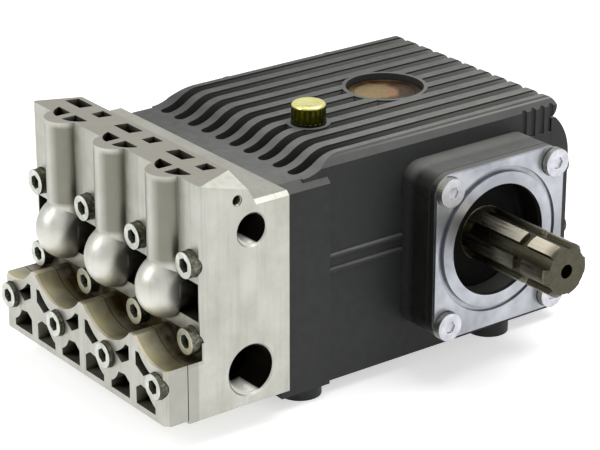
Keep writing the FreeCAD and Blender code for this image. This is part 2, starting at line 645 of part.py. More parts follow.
# blind side: gasket and a closed cover on the left
def make_blind_side():
    gasket = new_body("blind_cover_gasket")
    square_plate(gasket, "-boss_reach - gasket", "gasket")
    rod(gasket, "Subtractive", "gasket_hole", ("-boss_reach", "0", "0"), "-X", SPIGOT_HOLE, "gasket")

    cover = new_body("blind_bearing_cover")
    square_plate(cover, "-boss_reach - gasket - housing_thickness", "housing_thickness")
    rod(cover, "Additive", "raised_disc", ("-boss_reach - gasket", "0", "0"), "-X",
        "ring_radius", "housing_thickness + ring_height")
    rod(cover, "Additive", "blind_spigot", ("-boss_reach - gasket", "0", "0"), "+X",
        "bearing_radius + spigot_wall", "blind_spigot_length")
    screw_seats(cover, "-boss_reach - gasket - housing_thickness", "+X")
    doc.recompute()


# fittings: filler plug, round plate, oil level glass and drain plug
def make_fittings():
    spot = ("filler_right", "case_front + filler_back")
    washer = new_body("filler_plug_washer")
    rod(washer, "Additive", "washer_ring", spot + ("fin_top",), "+Z", "filler_radius", "washer")
    rod(washer, "Subtractive", "washer_hole", spot + ("fin_top",), "+Z",
        "filler_thread_radius", "washer")
    plug = new_body("filler_plug")
    rod(plug, "Additive", "plug_head", spot + ("fin_top + washer",), "+Z",
        "filler_radius", "filler_height")
    rod(plug, "Additive", "plug_thread", spot + ("fin_top + washer",), "-Z",
        "filler_thread_radius - seat_gap", "filler_hole_depth - 1")

    plate = new_body("type_plate")
    rod(plate, "Additive", "plate_disc", ("0", "case_front + plate_back", "fin_top - plate_recess"),
        "+Z", "plate_radius", "plate_thickness")

    back = CASE_BACK + " + gasket + cover_thickness"
    glass = new_body("oil_level_glass")
    rod(glass, "Additive", "glass_disc", ("0", back, "glass_height"), "-Y",
        "glass_radius", "glass_thickness")
    frame = new_body("oil_level_ring")
    rod(frame, "Additive", "frame_ring", ("0", back, "glass_height"), "+Y",
        "glass_frame_radius", "glass_frame_height")
    rod(frame, "Subtractive", "frame_window", ("0", back, "glass_height"), "+Y",
        "glass_radius - glass_frame_lip", "glass_frame_height")

    seal = new_body("drain_plug_washer")
    rod(seal, "Additive", "washer_ring", ("0", back, "drain_height"), "+Y",
        "drain_head_radius", "washer")
    rod(seal, "Subtractive", "washer_hole", ("0", back, "drain_height"), "+Y",
        "drain_radius", "washer")
    drain = new_body("drain_plug")
    hexagon = drain.newObject("PartDesign::AdditivePrism", "drain_head")
    hexagon.Polygon = 6
    bind(hexagon, Circumradius="drain_head_radius", Height="drain_head_height")
    place(hexagon, "0", back + " + washer", "drain_height", (1, 0, 0), -90)
    rod(drain, "Additive", "drain_thread", ("0", back + " + washer", "drain_height"), "-Y",
        "drain_radius - seat_gap", "cover_thickness - 2")
    doc.recompute()


def seat_columns(body, name, front, height, depth):
    """Screw seats in four columns, cut from a front face."""
    for place_name, span in (("outer", "outer_screw_span"), ("inner", "plunger_pitch")):
        seat = rod(body, "Subtractive", "%s_%s" % (name, place_name),
                   ("-%s / 2" % span, front, height), "+Y", "head_screw_seat", depth)
        repeat(body, "%s_%s_pair" % (name, place_name), [seat], "2", span)


def shoulder_cut(body, side, sign):
    """Slanted end of the ribbed top: a flat cut from the front corner towards rear and middle."""
    sketch = new_sketch(body, "shoulder_" + side, "XZ_Plane", "-(%s)" % HEAD_FRONT)
    steep = "shoulder_height / shoulder_width"
    outline(sketch, [
        (sign + "(head_width / 2)", "head_top"),
        (sign + "(head_width / 2 + 2 * shoulder_width)", "head_top - 2 * shoulder_width * " + steep),
        (sign + "(head_width / 2 + 2 * shoulder_width)", "head_top + 1"),
        (sign + "(head_width / 2 + 1)", "head_top + 1"),
    ])
    cut = body.newObject("PartDesign::Pocket", "shoulder_cut_" + side)
    cut.Profile = sketch
    cut.UseCustomVector = True
    cut.AlongSketchNormal = False
    cut.Direction = FreeCAD.Vector(0, 1, 0)
    bind(cut, Direction__x="-(%s1) * shoulder_width / crown_depth" % sign)
    bind(cut, Length="(crown_depth + crown_slope + 1) * sqrt(1 + (shoulder_width / crown_depth) ^ 2)")
    doc.recompute()


# the ribbed top is a lattice: four pockets over every plunger, with webs between them
def top_lattice(body):
    left = "-plunger_pitch"
    rear = "case_front - rear_pocket_back"
    near = "case_front - rear_pocket_back - rear_pocket_length"
    moon_rear = "case_front - front_pocket_back"
    moon_front = "case_front - front_pocket_back - front_pocket_length"
    shapes = {
        "wide_pocket": [
            (left + " - wide_pocket_left", near),
            (left + " - wide_pocket_right - pocket_slant", near),
            (left + " - wide_pocket_right", rear),
            (left + " - wide_pocket_left + pocket_slant", rear)],
        "small_pocket": [
            (left + " + small_pocket_left", near),
            (left + " + small_pocket_right - pocket_slant", near),
            (left + " + small_pocket_right", rear),
            (left + " + small_pocket_left", rear)],
        "left_moon": [
            (left + " - top_web / 2", moon_front),
            (left + " - top_web / 2", moon_rear),
            (left + " - moon_reach", moon_rear),
            (left + " - top_web / 2 - pocket_slant", moon_front, "moon_radius", 1)],
        "right_moon": [
            (left + " + top_web / 2", moon_front),
            (left + " + top_web / 2 + pocket_slant", moon_front),
            (left + " + moon_reach", moon_rear, "moon_radius", 1),
            (left + " + top_web / 2", moon_rear)],
    }
    for name, points in shapes.items():
        sketch = outline(new_sketch(body, name, "XY_Plane", "head_top"), points)
        cut = extrude(body, "Pocket", sketch, "lattice_depth")
        repeat(body, name + "s", [cut], "3", "2 * plunger_pitch")


def turned_dome(body):
    """Valve dome: a wheel with a round rim, turned about its middle line along X."""
    sketch = new_sketch(body, "dome_profile", "XY_Plane", "dome_height")
    middle = HEAD_FRONT + " + dome_back"
    rim = "%s - dome_radius + dome_side" % middle
    outline(sketch, [
        ("-plunger_pitch - dome_side", middle),
        ("-plunger_pitch - dome_side", rim),
        ("-plunger_pitch", middle + " - dome_radius", "dome_side", 1),
        ("-plunger_pitch + dome_side", rim, "dome_side", 1),
        ("-plunger_pitch + dome_side", middle),
    ])
    dome = body.newObject("PartDesign::Revolution", "valve_dome")
    dome.Profile = sketch
    dome.ReferenceAxis = (sketch, ["Edge5"])
    dome.Angle = 360
    doc.recompute()
    return dome


# head: lands, domed valve chambers, upright barrels, ribbed top and lower leg
def make_head():
    body = new_body("pump_head")
    leg_front = "case_front - head_depth - leg_depth"
    side = new_sketch(body, "head_section", "YZ_Plane", "0")
    outline(side, [
        (leg_front, "head_bottom"),
        ("case_front", "head_bottom"),
        ("case_front", "ledge_height"),
        ("case_front - head_depth + crown_depth + crown_slope", "ledge_height"),
        ("case_front - head_depth + crown_depth", "head_top"),
        (HEAD_FRONT, "head_top"),
        (HEAD_FRONT, "leg_top"),
        (leg_front, "leg_top"),
    ])
    extrude(body, "Pad", side, "head_width", both=True)
    soften(body, "Chamfer", "ledge_bevels",
           lambda p, e: abs(p.z - size("ledge_height")) < 0.01
           and abs(abs(p.x) - size("head_width / 2")) < 0.01, Size="ledge_edge")
    soften(body, "Chamfer", "front_bevels",
           lambda p, e: abs(p.y - size(HEAD_FRONT)) < 0.01 and p.z > size("leg_top")
           and abs(abs(p.x) - size("head_width / 2")) < 0.01, Size="front_edge")
    channel = rod(body, "Subtractive", "wrench_channel",
                  ("-1.5 * plunger_pitch", HEAD_FRONT, "leg_floor + channel_radius"), "-Y",
                  "channel_radius", "leg_depth")
    repeat(body, "wrench_channels", [channel], "4", "3 * plunger_pitch")
    hollow(body, "front_recess",
           ("-head_width / 2 + end_wall", HEAD_FRONT, "recess_bottom"),
           ("head_width / 2 - end_wall", HEAD_FRONT + " + recess_depth", "recess_top"))
    circle = new_sketch(body, "valve_chamber", "XZ_Plane", "-(%s + recess_depth)" % HEAD_FRONT)
    ring(circle, "-plunger_pitch", "dome_height", "chamber_radius", "c")
    chamber = extrude(body, "Pad", circle, "recess_depth")
    dome = turned_dome(body)
    barrel = rod(body, "Additive", "valve_barrel",
                 ("-plunger_pitch", HEAD_FRONT + " + barrel_back", "dome_height"), "+Z",
                 "barrel_radius", "head_top - dome_height")
    for name, feature in (("chambers", chamber), ("domes", dome), ("barrels", barrel)):
        repeat(body, name, [feature], "3", "2 * plunger_pitch")
    for row in ("upper", "lower"):
        seat_columns(body, row + "_seat", HEAD_FRONT, row + "_screw_height", "head_seat_depth")
    for side_name, sign, inward in (("right", "", "-X"), ("left", "-", "+X")):
        for port in ("outlet", "inlet", "gauge"):
            rod(body, "Subtractive", "%s_%s" % (port, side_name),
                (sign + "head_width / 2", "case_front - %s_back" % port, port + "_height"),
                inward, port + "_radius", port + "_depth")
    soften(body, "Chamfer", "port_bevels",
           lambda p, e: abs(abs(p.x) - size("head_width / 2")) < 0.01 and hasattr(e.Curve, "Radius")
           and e.Curve.Radius > size("gauge_radius + 1"), Size="port_edge")
    shoulder_cut(body, "left", "-")
    shoulder_cut(body, "right", "")
    top_lattice(body)
    doc.recompute()


# suction plate: the leg's front, bolted on, with a web of ribs round every plunger's foot
def leg_slice(name, front, back):
    """Slice of the leg between two Y, with the four wrench channels over it."""
    body = new_body(name)
    block(body, name + "_block", ("-head_width / 2", front, "suction_plate_bottom"),
          ("head_width / 2", back, "leg_top"))
    channel = rod(body, "Subtractive", "wrench_channel",
                  ("-1.5 * plunger_pitch", back, "leg_floor + channel_radius"), "-Y",
                  "channel_radius", "(%s) - (%s)" % (back, front))
    repeat(body, "wrench_channels", [channel], "4", "3 * plunger_pitch")
    return body


def make_suction_plate():
    back = "case_front - head_depth - leg_depth"
    leg_slice("suction_plate_gasket", back + " - gasket", back)
    front = back + " - gasket - suction_plate_depth"
    body = leg_slice("suction_plate", front, back + " - gasket")
    soften(body, "Chamfer", "plate_bevels",
           lambda p, e: abs(p.y - size(front)) < 0.01 and abs(abs(p.x) - size("head_width / 2")) < 0.01,
           Size="plate_edge")
    plate_lattice(body, front)
    seat_columns(body, "plate_seat", front, "leg_screw_height", "plate_seat_depth")
    doc.recompute()


# two pockets on each side of the upright web under every crest between the channels
def plate_lattice(body, front):
    for side, sign, turn in (("left", "-", 1), ("right", "+", -1)):
        middle = "-plunger_pitch %s " % sign
        web = middle + "plate_web / 2"
        shapes = {
            "upper_pocket": [
                (web, "leg_screw_height + upper_pocket_rise"),
                (web, "upper_pocket_top"),
                (middle + "(plate_web / 2 + pocket_wall)", "upper_pocket_top"),
                (middle + "upper_pocket_reach", "leg_screw_height + upper_pocket_rise", "channel_radius", -turn),
                (middle + "(upper_pocket_reach - 2 * pocket_wall)", "upper_pocket_low")],
            "lower_pocket": [
                (web, "lower_pocket_bottom"),
                (web, "lower_pocket_top - pocket_wall"),
                (middle + "(plate_web / 2 + lower_pocket_flat)", "lower_pocket_top"),
                (middle + "(plunger_pitch / 2 - screw_wall_radius)", "lower_pocket_top - lower_pocket_fall"),
                (middle + "lower_pocket_reach", "leg_screw_height - screw_wall_radius - pocket_wall",
                 "screw_wall_radius + pocket_wall", -turn),
                (middle + "lower_pocket_reach", "lower_pocket_bottom")],
        }
        for name, points in shapes.items():
            label = "%s_%s" % (name, side)
            sketch = outline(new_sketch(body, label, "XZ_Plane", "-(%s)" % front), points)
            cut = extrude(body, "Pocket", sketch, "lattice_depth")
            repeat(body, label + "s", [cut], "3", "2 * plunger_pitch")


make_crankcase()
make_rear_cover()
make_flat_gasket()
make_drive_side()
make_shaft()
make_blind_side()
make_fittings()
make_head()
make_suction_plate()
doc.recompute()


pieces = [item for item in doc.Objects if item.TypeId == "PartDesign::Body"]
for item in doc.Objects:
    if "Invalid" in item.State or "Error" in item.State:
        raise RuntimeError("%s failed: %s" % (item.Name, item.State))
for piece in pieces:
    if piece.Shape.isNull() or not piece.Shape.isValid():
        raise RuntimeError(piece.Label + " has no valid shape")
os.makedirs("parts", exist_ok=True)
for piece in pieces:
    piece.Shape.exportStep("parts/%s.step" % piece.Label)
    print(piece.Label, round(piece.Shape.Volume / 1000, 1), "cm3", piece.Shape.BoundBox)
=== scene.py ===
from math import pi, radians, sqrt

import bmesh
import bpy
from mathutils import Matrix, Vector


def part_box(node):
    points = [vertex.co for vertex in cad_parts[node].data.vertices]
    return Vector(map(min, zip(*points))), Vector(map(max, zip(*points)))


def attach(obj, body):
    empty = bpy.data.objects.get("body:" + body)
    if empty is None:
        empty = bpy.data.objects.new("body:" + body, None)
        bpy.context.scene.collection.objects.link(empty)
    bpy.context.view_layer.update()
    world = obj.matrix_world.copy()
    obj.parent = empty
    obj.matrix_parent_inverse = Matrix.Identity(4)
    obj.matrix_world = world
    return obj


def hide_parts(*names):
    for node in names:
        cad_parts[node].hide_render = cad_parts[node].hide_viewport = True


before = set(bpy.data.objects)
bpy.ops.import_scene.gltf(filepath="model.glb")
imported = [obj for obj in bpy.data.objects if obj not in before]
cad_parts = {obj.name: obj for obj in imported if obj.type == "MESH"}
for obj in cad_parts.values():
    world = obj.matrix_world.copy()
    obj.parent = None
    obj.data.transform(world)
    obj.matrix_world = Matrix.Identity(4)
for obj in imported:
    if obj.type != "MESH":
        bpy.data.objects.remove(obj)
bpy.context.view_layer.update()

# Dresses the triplex plunger pump: screws, threads, plug, round plate, seal lip, finishes and studio.

bl_info = {
    "name": "Plunger pump dresser",
    "version": (1, 0, 0),
    "blender": (4, 5, 0),
    "location": "View3D > Sidebar > Pump",
    "description": "Adds the screws, threads, plug and finishes of a triplex plunger pump",
    "category": "Object",
}

MM = 0.001
# Metres within which two points count as one, and degrees under which a bend is shaded round.
SAME = 1e-6
SMOOTH = 35


def corner(node, end):
    """Lowest (0) or highest (1) corner of a CAD node, in millimetres."""
    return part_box(node)[end] / MM


def middle_of_node(node):
    """Middle of a CAD node's box, in millimetres."""
    return (corner(node, 0) + corner(node, 1)) / 2


# Places that the pieces take from the frame, in millimetres.
SHAFT = middle_of_node("splined_shaft")
SHAFT_END = corner("splined_shaft", 1).x
HEAD_BACK = corner("pump_head", 1).y
HEAD_HALF = corner("pump_head", 1).x
LEG_FRONT = corner("suction_plate", 0).y
COVER_BACK = corner("rear_cover", 1).y
BOSS_MIDDLE = middle_of_node("drive_housing_gasket")

# Sizes of the solids that the frame doesn't name, in millimetres. A seat is the depth of a screw's seat, and
# the corner is half the distance between the housing's screws along Y and Z.
PLUNGER_PITCH = 55.0
HOUSING_THICKNESS = 7
HOUSING_SEAT = 1.5
HOUSING_CORNER = (42, 44)
LANDS_SEAT = 4
PLATE_SEAT = 6.5

# Outer faces of the bearing housing, the blind cover and the head's screw lands, and a place ahead of it all.
PLATE_FACE = corner("drive_housing_gasket", 1).x + HOUSING_THICKNESS
BLIND_FACE = corner("blind_cover_gasket", 0).x - HOUSING_THICKNESS
LANDS = HEAD_BACK - 63
AHEAD = LEG_FRONT - 10

# Heights between which the deck has its grooves, and the head its barrels and wrench channels.
GROOVES = (141, 154.2)
BARRELS = (112, 160)
CHANNELS = (54, 69)

# Rows of screws on the head and its suction plate: name, seat of the row, height.
HEAD_ROWS = (
    ("upper_head_screw", LANDS + LANDS_SEAT, 114.5),
    ("lower_head_screw", LANDS + LANDS_SEAT, 66.5),
    ("suction_plate_screw", LEG_FRONT + PLATE_SEAT, 44.0),
)

# Threaded ports of the head: name, place from its back, height, radius, pitch, thread depth, turns, recess.
PORTS = (
    ("outlet_thread", -26.8, 129.0, 9.35, 1.814, 0.9, 11, 2.0),
    ("inlet_thread", -28.0, 40.0, 15.15, 2.309, 1.1, 10, 2.0),
    ("gauge_thread", -37.0, 149.5, 3.42, 1.25, 0.5, 10, 0.6),
)

# Outline of the seal's dust lip: radii of its tip, which stands out the furthest, then radius and height.
LIP_TIP = (17.75, 18.3)
LIP_BACK = ((20.6, 0.9), (24.0, 0.5), (31.0, 0.5), (32.2, 1.4), (34.6, 1.4), (35.4, 0.0), (19.6, 0.0))


def to_linear(code):
    """Linear colour of an sRGB hex value."""
    channels = [int(code[i:i + 2], 16) / 255 for i in (0, 2, 4)]
    return tuple(c / 12.92 if c <= 0.04045 else ((c + 0.055) / 1.055) ** 2.4 for c in channels) + (1.0,)


def length(label, note, millimetres):
    """A length that a user may change, kept in metres."""
    return bpy.props.FloatProperty(
        name=label, description=note, default=millimetres * MM, min=0.0, subtype="DISTANCE", unit="LENGTH")


def shade(label, note, code):
    """A colour that a user may change, kept linear."""
    return bpy.props.FloatVectorProperty(
        name=label, description=note, default=to_linear(code), size=4, min=0.0, max=1.0, subtype="COLOR")


class PumpSizes(bpy.types.PropertyGroup):
    """Sizes of the pieces that are added to the pump."""

    screw_radius: length("Screw head radius", "Radius of a cap screw's head", 8.0)
    screw_height: length("Screw head height", "Height of a cap screw's head", 10.0)
    housing_radius: length("Housing screw radius", "Radius of a housing screw's head", 9.0)
    housing_height: length("Housing screw height", "Height of a housing screw's low head", 6.0)
    cover_radius: length("Cover screw radius", "Radius of a rear cover screw's head", 6.5)
    cover_height: length("Cover screw height", "Height of a rear cover screw's head", 5.0)
    plunger_pitch: length("Plunger pitch", "Distance from plunger to plunger", PLUNGER_PITCH)
    outer_span: length("Outer screw span", "Distance between the outermost head screws", 162.0)
    plug_chamfer: length("Plug chamfer", "Width of the chamfer round the filler plug's top", 2.2)
    lip_reach: length("Lip reach", "How far the seal's dust lip stands out", 2.4)
    plug_flutes: bpy.props.IntProperty(
        name="Plug flutes", description="Number of grip flutes round the filler plug", default=20, min=6)


class PumpLook(bpy.types.PropertyGroup):
    """Colours of the finishes."""

    paint: shade("Casting paint", "Anthracite paint on the castings", "303131")
    # the dusty paint also stands in for painted light on upward faces
    paint_dusty_lit: shade("Dusty paint", "Paint under a film of dust, on upward faces", "70716d")
    # this colour is also painted shade in recesses and a painted shadow on the housing's side
    paint_dirty_and_shaded: shade("Paint in recesses", "Paint where oil and dirt stay", "11100f")
    nickel: shade("Nickel plate", "Satin nickel plate of the head", "bdbdb6")
    nickel_dull: shade("Dull nickel", "Clouded patches of the plate", "a9a99f")
    # this colour is also painted shade at the channels' back
    nickel_film_shaded: shade("Nickel under old oil", "Brown film in the channels and round the chambers", "3a2e16")
    # this colour is also painted shade in the pockets
    nickel_oily_shaded: shade("Nickel in pockets", "Dark oil in the pockets and ports", "3f3520")
    aluminium: shade("Machined aluminium", "Bare aluminium of the bearing housing", "bcbec4")
    steel: shade("Shaft steel", "Oiled steel of the splined shaft", "5e5b4b")
    steel_bright: shade("Worn steel", "Bright crests of the splines", "dbd2c0")
    plug: shade("Plug brass", "Yellow passivated brass of the filler plug", "e2df94")
    plate_gold: shade("Rubbed plate", "Rubbed brass in the middle of the round plate", "957b42")
    plate_dark: shade("Tarnished plate", "Tarnished brass of the round plate's field", "2c1d12")


# Modelling helpers
def clear_selection():
    """Leave edit mode and deselect everything."""
    if bpy.context.object and bpy.context.object.mode != "OBJECT":
        bpy.ops.object.mode_set(mode="OBJECT")
    bpy.ops.object.select_all(action="DESELECT")


def make_active(piece):
    """Select one piece alone."""
    clear_selection()
    bpy.context.view_layer.objects.active = piece
    piece.select_set(True)


def edit(piece):
    """Enter edit mode on one piece with nothing selected."""
    make_active(piece)
    bpy.ops.object.mode_set(mode="EDIT")
    bpy.ops.mesh.select_mode(type="VERT")
    bpy.ops.mesh.select_all(action="DESELECT")


def pick(kind, test):
    """In edit mode, select the faces or edges that pass a test."""
    mesh = bpy.context.object.data
    bpy.ops.mesh.select_mode(type={"faces": "FACE", "edges": "EDGE"}[kind])
    shape = bmesh.from_edit_mesh(mesh)
    chosen = 0
    for item in getattr(shape, kind):
        wanted = bool(test(item))
        item.select_set(wanted)
        chosen += wanted
    if not chosen:
        raise RuntimeError("no %s to shape on %s" % (kind, bpy.context.object.name))
    shape.select_flush_mode()
    bmesh.update_edit_mesh(mesh)


def middle_of(item):
    """Middle of the corners of a face or edge, in metres."""
    return sum((v.co for v in item.verts), Vector()) / len(item.verts)


def at_height(item, height):
    """Whether a face or edge lies level at a height in millimetres."""
    return all(abs(v.co.z - height * MM) < SAME for v in item.verts)


def is_side(face):
    """Whether a face of an upright piece stands upright."""
    return abs(face.normal.z) < 0.1


def sink_in(*steps):
    """Inset the chosen faces step by step, each with a width and a rise in millimetres."""
    for width, rise in steps:
        bpy.ops.mesh.inset(thickness=width * MM, depth=rise * MM)


def leave(smooth=SMOOTH):
    """Leave edit mode with clean normals and rounded shading under an angle in degrees."""
    bpy.ops.mesh.select_all(action="SELECT")
    bpy.ops.mesh.remove_doubles(threshold=SAME)
    bpy.ops.mesh.normals_make_consistent(inside=False)
    bpy.ops.object.mode_set(mode="OBJECT")
    bpy.ops.object.shade_smooth_by_angle(angle=radians(smooth))


def bevel_edges(piece, width, angle):
    """Round the edges that are sharper than an angle in degrees."""
    bevel = piece.modifiers.new("edges", "BEVEL")
    bevel.width = width * MM
    bevel.segments = 2
    bevel.limit_method = "ANGLE"
    bevel.angle_limit = radians(angle)
    make_active(piece)
    bpy.ops.object.modifier_apply(modifier=bevel.name)
    bpy.ops.object.shade_smooth_by_angle(angle=radians(SMOOTH))


# Turns that lay a piece made upright, along Z, onto another direction.
LAY = {
    "+X": (0, pi / 2, 0), "-X": (0, -pi / 2, 0),
    "+Y": (-pi / 2, 0, 0), "-Y": (pi / 2, 0, 0), "+Z": (0, 0, 0),
}


def set_down(piece, place, towards, slot, *finishes):
    """Turn a piece that was made upright, put it in its place, and hand it to the pump."""
    missing = set(finishes) - set(FINISHES)
    if missing:
        raise RuntimeError("finishes not made yet: %s" % sorted(missing))
    if not piece.data.polygons:
        raise RuntimeError("%s has no faces" % piece.name)
    piece.rotation_euler = LAY[towards]
    piece.location = Vector(place) * MM
    make_active(piece)
    bpy.ops.object.transform_apply(location=True, rotation=True, scale=True)
    for finish in finishes:
        piece.data.materials.append(FINISHES[finish])
    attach(piece, "pump")


def twin(piece, name):
    """Copy of a piece with a mesh of its own."""
    copy = piece.copy()
    copy.data = piece.data.copy()
    copy.name = name
    bpy.context.scene.collection.objects.link(copy)
    return copy


def open_primitive(name):
    """Name the primitive that was just added, put its place in its mesh, and enter edit mode."""
    bpy.ops.object.transform_apply(location=True)
    piece = bpy.context.object
    piece.name = name
    edit(piece)
    return piece


def upright_drum(name, sides, radius, height):
    """Cylinder that stands on the origin, in edit mode."""
    clear_selection()
    bpy.ops.mesh.primitive_cylinder_add(
        vertices=sides, radius=radius * MM, depth=height * MM, location=(0, 0, height * MM / 2))
    return open_primitive(name)


def upright_ring(name, sides, outline):
    """Closed ring whose cross section is an outline of radius and height; made by extruding a circle."""
    clear_selection()
    start, low = outline[0]
    bpy.ops.mesh.primitive_circle_add(vertices=sides, radius=start * MM, location=(0, 0, low * MM))
    piece = open_primitive(name)
    bpy.ops.mesh.select_all(action="SELECT")
    for radius, height in tuple(outline[1:]) + (outline[0],):
        grow = radius / start
        bpy.ops.mesh.extrude_region_move(TRANSFORM_OT_translate={"value": (0, 0, (height - low) * MM)})
        bpy.ops.transform.resize(value=(grow, grow, 1), center_override=(0, 0, 0))
        start, low = radius, height
    leave()
    return piece


def cap_screw(name, radius, height, socket, sink):
    """Cap screw head made upright: bevelled top, hexagon socket, and a knurled rim in the second finish."""
    piece = upright_drum(name, 36, radius, height)
    # the middle of the top is taken out, and filled again round a hexagon
    pick("faces", lambda f: at_height(f, height))
    bpy.ops.mesh.inset(thickness=(radius - socket * 1.25) * MM)
    bpy.ops.mesh.delete(type="FACE")
    bpy.ops.mesh.primitive_circle_add(
        vertices=6, radius=socket * 2 / sqrt(3) * MM, location=(0, 0, height * MM))
    pick("edges", lambda e: at_height(e, height) and (e.is_boundary or e.is_wire))
    bpy.ops.mesh.fill()
    # the hexagon is sunk and closed, and its floor dished
    pick("edges", lambda e: at_height(e, height) and e.is_boundary)
    bpy.ops.mesh.extrude_region_move(TRANSFORM_OT_translate={"value": (0, 0, -sink * MM)})
    bpy.ops.mesh.edge_face_add()
    bpy.ops.mesh.select_all(action="SELECT")
    bpy.ops.mesh.normals_make_consistent(inside=False)
    pick("faces", lambda f: at_height(f, height - sink))
    sink_in((socket * 0.45, -0.2 * sink))
    # every side of the rim gets a raised tooth of its own
    pick("faces", lambda f: is_side(f) and middle_of(f).xy.length > radius * 0.95 * MM)
    bpy.ops.mesh.inset(thickness=0.16 * MM, depth=0.1 * MM, use_individual=True)
    leave()
    # the second finish is for the rim alone
    for face in piece.data.polygons:
        face.material_index = int(face.center.xy.length > (radius - 0.2) * MM)
    bevel_edges(piece, 0.35, 55)
    return piece


# Words for the nodes of the finishes: type, settings, the inputs that are filled in turn, and the output.
NODES = {
    "place": ("TexCoord", {}, (), "Object"),
    "facing": ("NewGeometry", {}, (), "Normal"),
    "rays": ("LightPath", {}, (), None),
    "parts": ("SeparateXYZ", {}, (0,), None),
    "stretch": ("Mapping", {}, ("Vector", "Scale"), 0),
    "noise": ("TexNoise", {}, ("Vector", "Scale", "Detail", "Roughness"), "Fac"),
    "openness": ("AmbientOcclusion", {"samples": 8, "only_local": True}, ("Distance",), "AO"),
    "span": ("MapRange", {}, ("Value", "From Min", "From Max", "To Min", "To Max"), "Result"),
    "blend": ("Mix", {"data_type": "RGBA"}, (0, 6, 7), 2),
    "times": ("Math", {"operation": "MULTIPLY"}, (0, 1), 0),
    "plus": ("Math", {"operation": "ADD"}, (0, 1), 0),
    "minus": ("Math", {"operation": "SUBTRACT"}, (0, 1), 0),
    "larger": ("Math", {"operation": "MAXIMUM"}, (0, 1), 0),
    "unsigned": ("Math", {"operation": "ABSOLUTE"}, (0,), 0),
    "wave": ("Math", {"operation": "SINE"}, (0,), 0),
    "to and fro": ("Math", {"operation": "PINGPONG"}, (0, 1), 0),
    "offset": ("VectorMath", {"operation": "SUBTRACT"}, (0, 1), 0),
    "scaled": ("VectorMath", {"operation": "MULTIPLY"}, (0, 1), 0),
    "along": ("VectorMath", {"operation": "DOT_PRODUCT"}, (0, 1), 1),
    "size": ("VectorMath", {"operation": "LENGTH"}, (0,), 1),
    "apart": ("VectorMath", {"operation": "DISTANCE"}, (0, 1), 1),
    "bump": ("Bump", {}, ("Height", "Distance", "Strength"), "Normal"),
    "glow": ("Background", {}, ("Color", "Strength"), 0),
    "world": ("OutputWorld", {}, ("Surface",), None),
}


# Material helpers
def feed(node, socket, source):
    """Give an input of a node another node's output, an sRGB hex colour or a plain value."""
    if isinstance(source, bpy.types.NodeSocket):
        node.id_data.links.new(source, node.inputs[socket])
    elif isinstance(source, str):
        node.inputs[socket].default_value = to_linear(source)
    else:
        node.inputs[socket].default_value = source


def add(tree, word, *sources):
    """Add the node that a word stands for, with its settings and links, and hand on its output."""
    kind, settings, sockets, output = NODES[word]
    node = tree.nodes.new("ShaderNode" + kind)
    for name, value in settings.items():
        setattr(node, name, value)
    for socket, source in zip(sockets, sources):
        feed(node, socket, source)
    return node.outputs if output is None else node.outputs[output]


def begin(name):
    """A new material, its node tree, and the place of each point of its object."""
    material = bpy.data.materials.new(name)
    material.use_nodes = True
    return material, material.node_tree, add(material.node_tree, "place")


def surface(material, channels):
    """Give the material's shader its values and links, and hand on the material."""
    shader = next(n for n in material.node_tree.nodes if n.type == "BSDF_PRINCIPLED")
    for socket, source in channels.items():
        feed(shader, socket, source)
    return material


def mm(*lengths):
    """Millimetres as the metres that nodes take."""
    return tuple(value * MM for value in lengths)


def blotches(size, detail=3.0):
    """Scale, detail and roughness of a noise whose blotches are about size millimetres across."""
    return 1 / (size * MM), detail, 0.55


def patches(tree, place, size, low, high, start=0.0, end=1.0):
    """Noise of blotches of size millimetres, mapped from low..high to start..end."""
    return add(tree, "span", add(tree, "noise", place, *blotches(size)), low, high, start, end)


def fade(tree, factor, value, *ramps):
    """Factor times each ramp on a place: low and high end in millimetres, and what it goes from and to."""
    for low, high, start, end in ramps:
        factor = add(tree, "times", factor, add(tree, "span", value, *mm(low, high), start, end))
    return factor


def between(tree, value, low, high, soft=0.5):
    """1 where a place lies between two values in millimetres, 0 outside them."""
    return fade(tree, add(tree, "span", value, *mm(low - soft, low)), value, (high, high + soft, 1, 0))


def in_hollows(tree, reach, low, high, end=1.0):
    """Up to end in hollows narrower than about reach millimetres, 0 on open faces: the occlusion that the
    finishes paint shade and dirt with.
    """
    hollow = add(tree, "minus", 1.0, add(tree, "openness", reach * MM))
    return add(tree, "span", hollow, low, high, 0.0, end)


def from_line(tree, place, y, z):
    """Distance from a line along X at y and z, all in millimetres but the result in metres."""
    away = add(tree, "offset", place, (0, *mm(y, z)))
    return add(tree, "size", add(tree, "scaled", away, (0, 1, 1)))


def turning_rings(tree, pitch):
    """Wave round the shaft's axis, one ring every pitch millimetres."""
    around = from_line(tree, add(tree, "place"), SHAFT.y, SHAFT.z)
    return add(tree, "wave", add(tree, "times", around, 2 * pi / (pitch * MM)))
